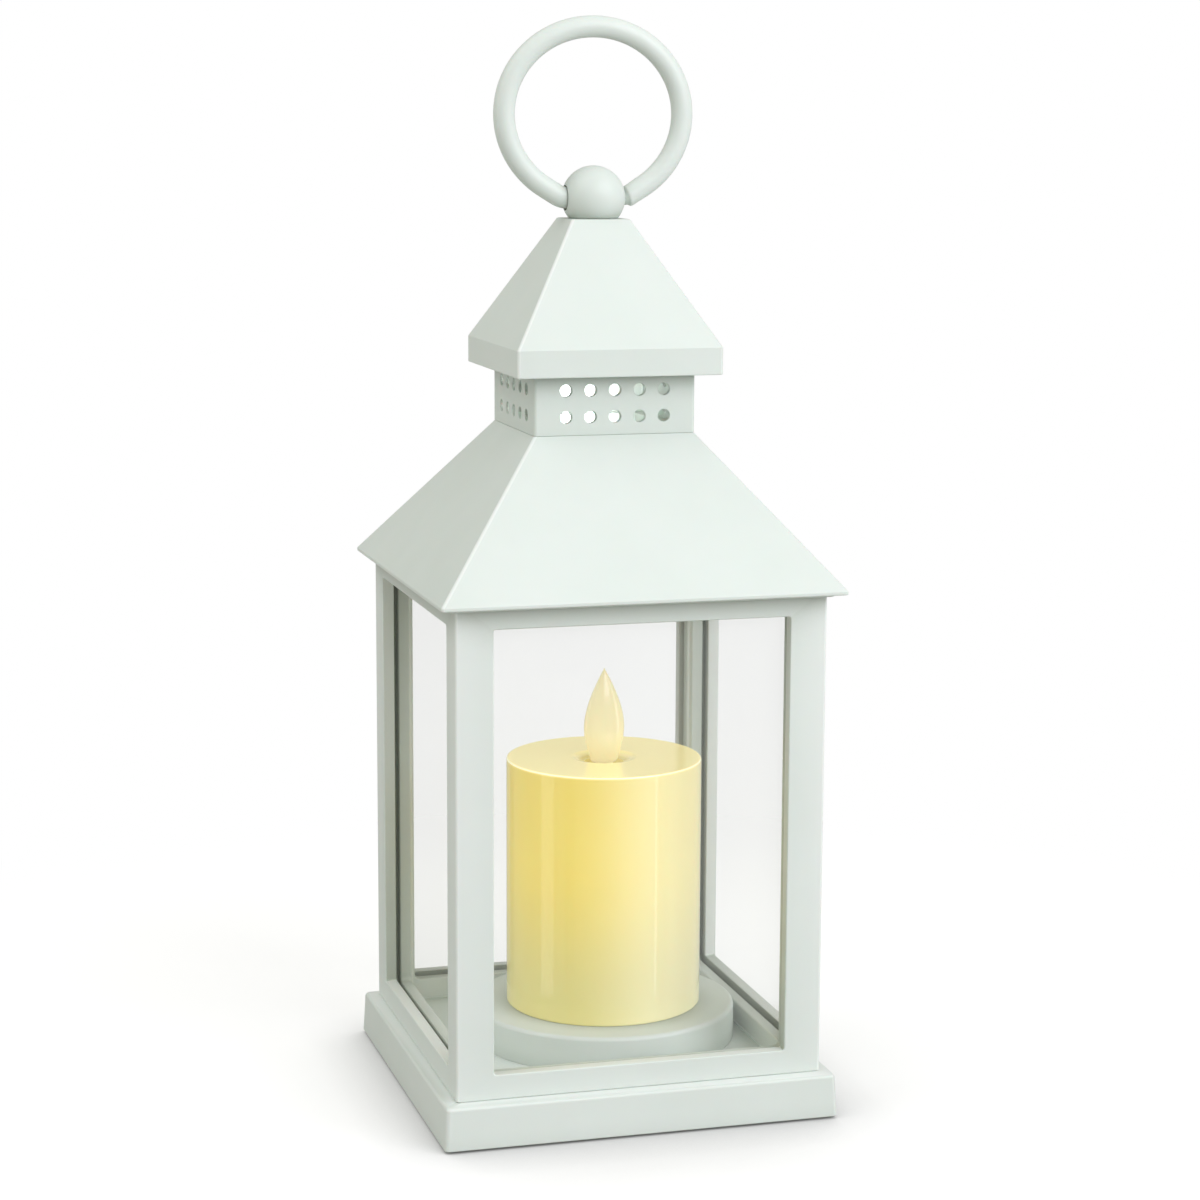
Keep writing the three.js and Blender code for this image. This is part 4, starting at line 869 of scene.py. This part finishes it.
def makeRing(size):
    half = ringHalfLine(size)
    rod, pinZ = size["rodRadius"], size["pinZ"]
    # (middle, radius, direction) from the left tip over the top to the end of the neck
    stations = []
    for back, less in size["tipSteps"]:
        stations.append((Vector((-size["pinEnd"] - back, pinZ)), rod - less, None))
    stations += [(Vector((-point.x, point.y)), rod, None) for point in half]
    clearX, clearZ = size["faceX"] + size["rodClear"], pinZ + size["rodAbove"]
    right = [point for point in half[:-1] if point.x > clearX or point.y > clearZ]
    stations += [(point, rod, None) for point in reversed(right)]
    # the right end narrows just short of the ball and goes on as a neck
    lean = math.radians(size["faceLean"])
    into = Vector((-math.cos(lean), -math.sin(lean)))
    face = Vector((size["faceX"], pinZ + size["faceRise"]))
    stations += [(face - into * back, rod - less, into) for back, less in size["faceSteps"]]
    for x, rise, radius in size["neckSteps"]:
        stations.append((Vector((x, pinZ + rise)), radius, None))
    loops = []
    for i, (point, radius, along) in enumerate(stations):
        before = stations[max(i - 1, 0)][0]
        after = stations[min(i + 1, len(stations) - 1)][0]
        along = along or (after - before).normalized()
        loop = []
        for k in range(size["sides"]):
            angle = 2 * math.pi * k / size["sides"]
            side = radius * math.cos(angle)
            x, z = point.x - along.y * side, point.y + along.x * side
            loop.append((x, radius * math.sin(angle), z))
        loops.append(loop)
    return makePiece("ringHandle", skin(loops))


handle = makeRing(ring)
dress(handle, surfaces["shellPlastic"], "ring", "shell_plastic", "ring_handle", softAngle=45)
print("ball and ring built")


# candle, pedestal and flame

candlePlace = 3.6

pedestal = {
    "radius": 35.5, "top": 21.0, "floor": 11.4, "wall": 2.0, "edgeRadius": 1.2,
    "lipBottom": 9.6, "lipInside": 31.5, "lipOutside": 32.9, "lipTop": 12.9,
    "ringInside": 22.1, "ringOutside": 23.7, "ringTop": 23.0, "bore": 1.5,
}


def makePedestal(size):
    ceiling = size["top"] - size["wall"]
    inner = size["radius"] - size["wall"]
    return makePiece("candlePedestal", turned([
        (size["lipInside"], size["lipBottom"], 0.2),
        (size["lipOutside"], size["lipBottom"], 0.2),
        (size["lipOutside"], size["floor"], 0.0),
        (size["radius"], size["floor"], 0.2),
        (size["radius"], size["top"], size["edgeRadius"]),
        (size["ringOutside"], size["top"], 0.0),
        (size["ringOutside"], size["ringTop"], 0.3),
        (size["ringInside"], size["ringTop"], 0.3),
        (size["ringInside"], size["top"], 0.0),
        (size["bore"], size["top"], 0.0),
        (size["bore"], ceiling, 0.0),
        (inner, ceiling, 0.0),
        (inner, size["lipTop"], 0.0),
        (size["lipInside"], size["lipTop"], 0.0),
    ], candlePlace, sides=128, steps=6))


drum = makePedestal(pedestal)
dress(drum, surfaces["shellPlastic"], "lantern", "shell_plastic", "candle_pedestal")

candle = {
    "radius": 26.2, "wall": 2.2, "foot": 21.0, "top": 88.3, "footRadius": 0.7, "edgeRadius": 0.6,
    "flatEnd": 9.5, "dishRadius": 8.9, "dishDepth": 1.4, "dishSteps": 8, "holeRadius": 5.3,
    "under": 84.9, "underStep": 1.4, "coreRadius": 10.3, "coreStep": 12.3,
}


def makeCandle(size):
    inner = size["radius"] - size["wall"]
    shape = [
        (inner, size["foot"], 0.2),
        (size["radius"], size["foot"], size["footRadius"]),
        (size["radius"], size["top"], size["edgeRadius"]),
        (size["flatEnd"], size["top"], 0.0),
    ]
    for i in range(size["dishSteps"] + 1):
        share = i / size["dishSteps"]
        dip = size["dishDepth"] * (1 - math.cos(share * math.pi)) / 2
        radius = size["dishRadius"] + (size["holeRadius"] - size["dishRadius"]) * share
        shape.append((radius, size["top"] - dip, 0.0))
    shape += [
        (size["holeRadius"], size["under"], 0.0),
        (size["coreRadius"], size["under"], 0.0),
        (size["coreStep"], size["under"] + size["underStep"], 0.0),
        (inner, size["under"] + size["underStep"], 0.0),
    ]
    return makePiece("candleWaxShell", turned(shape, candlePlace, sides=160, steps=6))


dress(makeCandle(candle), surfaces["candleWax"], "lantern", "candle_wax", "candle_shell")

flame = {
    "foot": 86.6, "height": 25.7, "width": 11.2, "thickness": 5.2, "widestShare": 0.38,
    "footWidth": 7.8, "footRadius": 1.5, "taperPower": 0.92, "taperLess": 0.1,
    "tipRadius": 0.35, "tipLeast": 0.08, "tipBluntness": 8,
    "sides": 48, "footSteps": 6, "lowSteps": 14, "highSteps": 30,
    "stemHalfX": 2.3, "stemHalfY": 1.3, "stemRadius": 0.5, "stemBottom": 72.8, "stemOverlap": 0.5,
}


def makeFlame(size):
    flat = size["thickness"] / size["width"]
    widest = size["foot"] + size["height"] * size["widestShare"]
    tip = size["foot"] + size["height"]

    def section(z, halfX):
        halfY = max(halfX * flat, min(halfX, size["tipRadius"]))
        angles = [2 * math.pi * k / size["sides"] for k in range(size["sides"])]
        return [(candlePlace + halfX * math.cos(a), halfY * math.sin(a), z) for a in angles]

    loops = []
    for i in range(size["footSteps"] + 1):
        angle = math.pi / 2 * i / size["footSteps"]
        halfX = size["footWidth"] / 2 - size["footRadius"] * (1 - math.sin(angle))
        loops.append(section(size["foot"] + size["footRadius"] * (1 - math.cos(angle)), halfX))
    start = size["foot"] + size["footRadius"]
    for i in range(1, size["lowSteps"] + 1):
        share = i / size["lowSteps"]
        swell = math.sin(share * math.pi / 2)
        halfX = (size["footWidth"] + (size["width"] - size["footWidth"]) * swell) / 2
        loops.append(section(start + (widest - start) * share, halfX))
    for i in range(1, size["highSteps"] + 1):
        share = i / size["highSteps"]
        taper = math.cos(share * math.pi / 2) ** size["taperPower"]
        taper *= 1 - size["taperLess"] * share
        blunt = size["tipRadius"] * math.sqrt((1 - share) * size["tipBluntness"])
        halfX = max(size["width"] / 2 * taper, size["tipLeast"] + blunt)
        loops.append(section(widest + (tip - widest) * share, min(halfX, size["width"] / 2)))
    corners = [(1, 1), (-1, 1), (-1, -1), (1, -1)]
    outline = roundCorners([
        (sx * size["stemHalfX"], sy * size["stemHalfY"], size["stemRadius"]) for sx, sy in corners
    ])
    ends = (size["stemBottom"], size["foot"] + size["stemOverlap"])
    stem = [[(candlePlace + x, y, z) for x, y in outline] for z in ends]
    return makePiece("flameLeaf", skin(loops), skin(stem))


leaf = makeFlame(flame)
dress(leaf, surfaces["flameMoulding"], "flame_swing", "flame_plastic", "flame", softAngle=50)
print("candle and flame built")


# feet and base screws

foot = {
    "radius": 5.0, "top": 1.4, "place": 35.0, "edgeRadius": 0.45, "sides": 48,
    "dimpleTop": 2.6, "dimpleMouth": 2.8, "dimpleDepth": 0.25,
}


def makeFoot(size, name, sx, sy):
    pad = turned([
        (0.0, size["top"], 0.0),
        (0.0, size["dimpleDepth"], 0.0),
        (size["dimpleTop"], size["dimpleDepth"], 0.1),
        (size["dimpleMouth"], 0.0, 0.1),
        (size["radius"], 0.0, size["edgeRadius"]),
        (size["radius"], size["top"], 0.0),
    ], sides=size["sides"])
    return makePiece(name, movePart(pad, sx * size["place"], sy * size["place"]))


baseScrew = {
    "seat": 2.3, "place": 45.0, "headRadius": 2.8, "headTop": 2.2, "headHeight": 1.7, "radius": 1.5,
    "length": 18.7, "sides": 40,
    "recessReach": 1.7, "recessWidth": 0.7, "recessDepth": 0.9, "recessOut": 1,
}


def makeBaseScrew(size, name, sx, sy):
    under = size["seat"] - size["headHeight"]
    tip = size["seat"] + size["length"]
    screw = turned([
        (0.0, tip, 0.0),
        (0.0, under, 0.0),
        (size["headTop"], under, 0.5),
        (size["headRadius"], size["seat"] - size["headHeight"] / 2, 0.4),
        (size["headRadius"], size["seat"], 0.1),
        (size["radius"], size["seat"], 0.0),
        (size["radius"], tip - size["radius"], 0.0),
    ], sides=size["sides"])
    x, y = sx * size["place"], sy * size["place"]
    piece = makePiece(name, movePart(screw, x, y))
    low, high = under - size["recessOut"], under + size["recessDepth"]
    wide, narrow = size["recessReach"], size["recessWidth"] / 2
    cutters = []
    for reachX, reachY in ((wide, narrow), (narrow, wide)):
        front, back = y - reachY, y + reachY
        outline = [(front, low), (back, low), (back, high), (front, high)]
        cutters.append(makePiece("recessCutter", prism(outline, x - reachX, x + reachX)))
    cutAway(piece, cutters)
    return piece


for index, (sx, sy) in enumerate([(-1, -1), (1, -1), (1, 1), (-1, 1)], start=1):
    pad = makeFoot(foot, f"footPad{index}", sx, sy)
    dress(pad, surfaces["footRubber"], "lantern", "foot_rubber", f"foot_pad_{index}")
    screw = makeBaseScrew(baseScrew, f"baseScrew{index}", sx, sy)
    dress(screw, surfaces["zincSteel"], "lantern", "steel", f"base_screw_{index}")
print("feet and base screws built")


# finishes of the pieces that keep the drawing's own shape

slotFinishes = {
    "shell_plastic": "shellPlastic", "clear_pane": "clearPane", "steel": "zincSteel",
    "contact_metal": "nickelPlate", "battery_sleeve": "cellSleeve", "foot_rubber": "footRubber",
    "candle_wax": "candleWax", "flame_plastic": "flameMoulding", "lamp_lens": "flameMoulding",
    "core_plastic": "coreMoulding", "copper": "copperWinding", "dark_plastic": "blackMoulding",
    "board": "boardLaminate", "lead_sleeve": "leadSleeve",
}
for row in frame["record"]["subparts"]:
    finish = slotFinishes[row["material_slot"]]
    if row["node"] == "battery_door":
        finish = "plainShellPlastic"
    node = frame["nodes"][row["node"]]
    node.data.materials.clear()
    node.data.materials.append(surfaces[finish])
print("finishes set on the drawing's pieces")


# floor, light and camera

floor = {
    "radius": 3.0, "sides": 96, "colour": "F4F4F4", "bounce": "B4B4B0", "diffuse": 0.6, "glow": 0.6,
    "shadowReach": 0.019, "frontReach": 0.055, "frontPower": 0.6, "backward": 0.8, "upward": 0.6,
    "samples": 12, "clearFrom": 0.16, "clearTo": 0.30,
}


def makeFloor(size):
    rim = roundLoop(size["radius"] / mm, 0.0, sides=size["sides"])
    piece = makePiece("studioFloor", (rim, [tuple(range(size["sides"]))]))
    material = bpy.data.materials.new("studioFloor")
    material.use_nodes = True
    tree = material.node_tree
    tree.nodes.clear()
    # painted contact shadow: the floor's glow is dimmed where the lantern closes it in
    near = openness(tree, size["samples"], Distance=size["shadowReach"])
    # a second, wider one looks to the back, so its painted shadow only darkens the floor in front
    toBack = addNode(tree, "ShaderNodeCombineXYZ", {"Y": size["backward"], "Z": size["upward"]})
    inFront = openness(tree, size["samples"], Distance=size["frontReach"], Normal=toBack.outputs[0])
    softened = calculate(tree, "POWER", inFront, size["frontPower"])
    both = calculate(tree, "MULTIPLY", near, softened)
    strength = calculate(tree, "MULTIPLY", both, size["glow"])
    glow = addNode(tree, "ShaderNodeEmission", {"Strength": strength})
    shade = [part * size["diffuse"] for part in colour(size["colour"])[:3]]
    matt = addNode(tree, "ShaderNodeBsdfDiffuse", {"Color": (*shade, 1)})
    lit = addNode(tree, "ShaderNodeAddShader", {0: matt.outputs[0], 1: glow.outputs[0]})
    # further out the floor turns into the white of the background
    place = addNode(tree, "ShaderNodeNewGeometry").outputs["Position"]
    distance = addNode(tree, "ShaderNodeVectorMath", {0: place}, operation="LENGTH")
    away = rangeOver(tree, distance.outputs["Value"], size["clearFrom"], size["clearTo"])
    seen = mixShaders(tree, away, lit, addNode(tree, "ShaderNodeEmission"))
    plain = addNode(tree, "ShaderNodeBsdfDiffuse", {"Color": colour(size["bounce"])})
    rays = addNode(tree, "ShaderNodeLightPath").outputs
    whole = mixShaders(tree, rays["Is Camera Ray"], plain, seen)
    addNode(tree, "ShaderNodeOutputMaterial", {"Surface": whole.outputs[0]})
    piece.data.materials.append(material)
    # the strip lamps reach below the floor, so that the candle's upright side mirrors them
    piece.visible_glossy = False


makeFloor(floor)

studio = {"ambient": 0.49, "tint": "FFFFF6", "background": 1.0}


def makeWorld(size):
    world = bpy.data.worlds.new("studio")
    scene.world = world
    world.use_nodes = True
    tree = world.node_tree
    tree.nodes.clear()
    inputs = {"Strength": size["ambient"], "Color": colour(size["tint"])}
    ambient = addNode(tree, "ShaderNodeBackground", inputs)
    inputs = {"Strength": size["background"], "Color": (1, 1, 1, 1)}
    behind = addNode(tree, "ShaderNodeBackground", inputs)
    rays = addNode(tree, "ShaderNodeLightPath").outputs
    seen = calculate(tree, "MAXIMUM", rays["Is Camera Ray"], rays["Is Transmission Ray"])
    whole = mixShaders(tree, seen, ambient, behind)
    addNode(tree, "ShaderNodeOutputWorld", {"Surface": whole.outputs[0]})


makeWorld(studio)

lamps = {
    "keyRight": {
        "place": (0.65, -1.125, 0.87), "aim": (0, 0, 0.12), "size": (1.2, 1.2), "power": 13.4,
        "tint": (0.985, 0.985, 1.05),
    },
    "stripLeft": {
        "place": (-1.15, -0.10, 0.2), "aim": (0, 0, 0.2), "size": (0.36, 1.4), "power": 2.1,
        "tint": (1.0, 0.995, 0.93),
    },
    "stripRight": {
        "place": (1.03, -0.79, 0.2), "aim": (0, 0, 0.2), "size": (0.26, 1.4), "power": 2.6,
    },
    "topLeft": {
        "place": (-0.75, 0.0, 1.18), "aim": (0, 0, 0.15), "size": (0.8, 0.8), "power": 3.5,
        "tint": (1.0, 1.0, 1.02),
    },
    # a small lamp in the collar, behind its front wall, so that the vent holes show a lit inside
    "collarInside": {
        "place": (-0.004, -0.0165, 0.186), "aim": (-0.001, 0.02, 0.184), "size": (0.020, 0.010),
        "power": 0.006, "spread": 70,
    },
}


def makeLamp(name, lamp):
    light = bpy.data.lights.new(name, "AREA")
    light.shape = "RECTANGLE"
    light.size, light.size_y = lamp["size"]
    light.energy = lamp["power"]
    light.color = lamp.get("tint", (1, 1, 1))
    light.spread = math.radians(lamp.get("spread", 180))
    holder = bpy.data.objects.new(name, light)
    holder.location = lamp["place"]
    toward = Vector(lamp["aim"]) - Vector(lamp["place"])
    holder.rotation_euler = toward.to_track_quat("-Z", "Y").to_euler()
    holder.visible_camera = False
    scene.collection.objects.link(holder)


for name, lamp in lamps.items():
    makeLamp(name, lamp)

view = {
    "lens": 88.19, "sensor": 36, "clipStart": 0.01, "turn": 15.942, "pitch": 9.529, "roll": 0.257,
    "distance": 0.7708, "shiftRight": 0.00221, "height": 0.26035,
}


def makeCamera(size):
    turn, pitch = math.radians(size["turn"]), math.radians(size["pitch"])
    back = Vector((-math.sin(turn), -math.cos(turn), 0))
    right = Vector((math.cos(turn), -math.sin(turn), 0))
    data = bpy.data.cameras.new("photoView")
    data.sensor_width = size["sensor"]
    data.lens = size["lens"]
    data.clip_start = size["clipStart"]
    camera = bpy.data.objects.new("photoView", data)
    place = back * size["distance"] + right * size["shiftRight"]
    camera.location = place + Vector((0, 0, size["height"]))
    level = Euler((math.pi / 2 - pitch, 0, -turn)).to_matrix()
    rolled = level @ Matrix.Rotation(math.radians(size["roll"]), 3, "Z")
    camera.rotation_euler = rolled.to_euler()
    scene.collection.objects.link(camera)
    scene.camera = camera


makeCamera(view)
scene.view_settings.view_transform = "Standard"
print("floor, light and camera set")
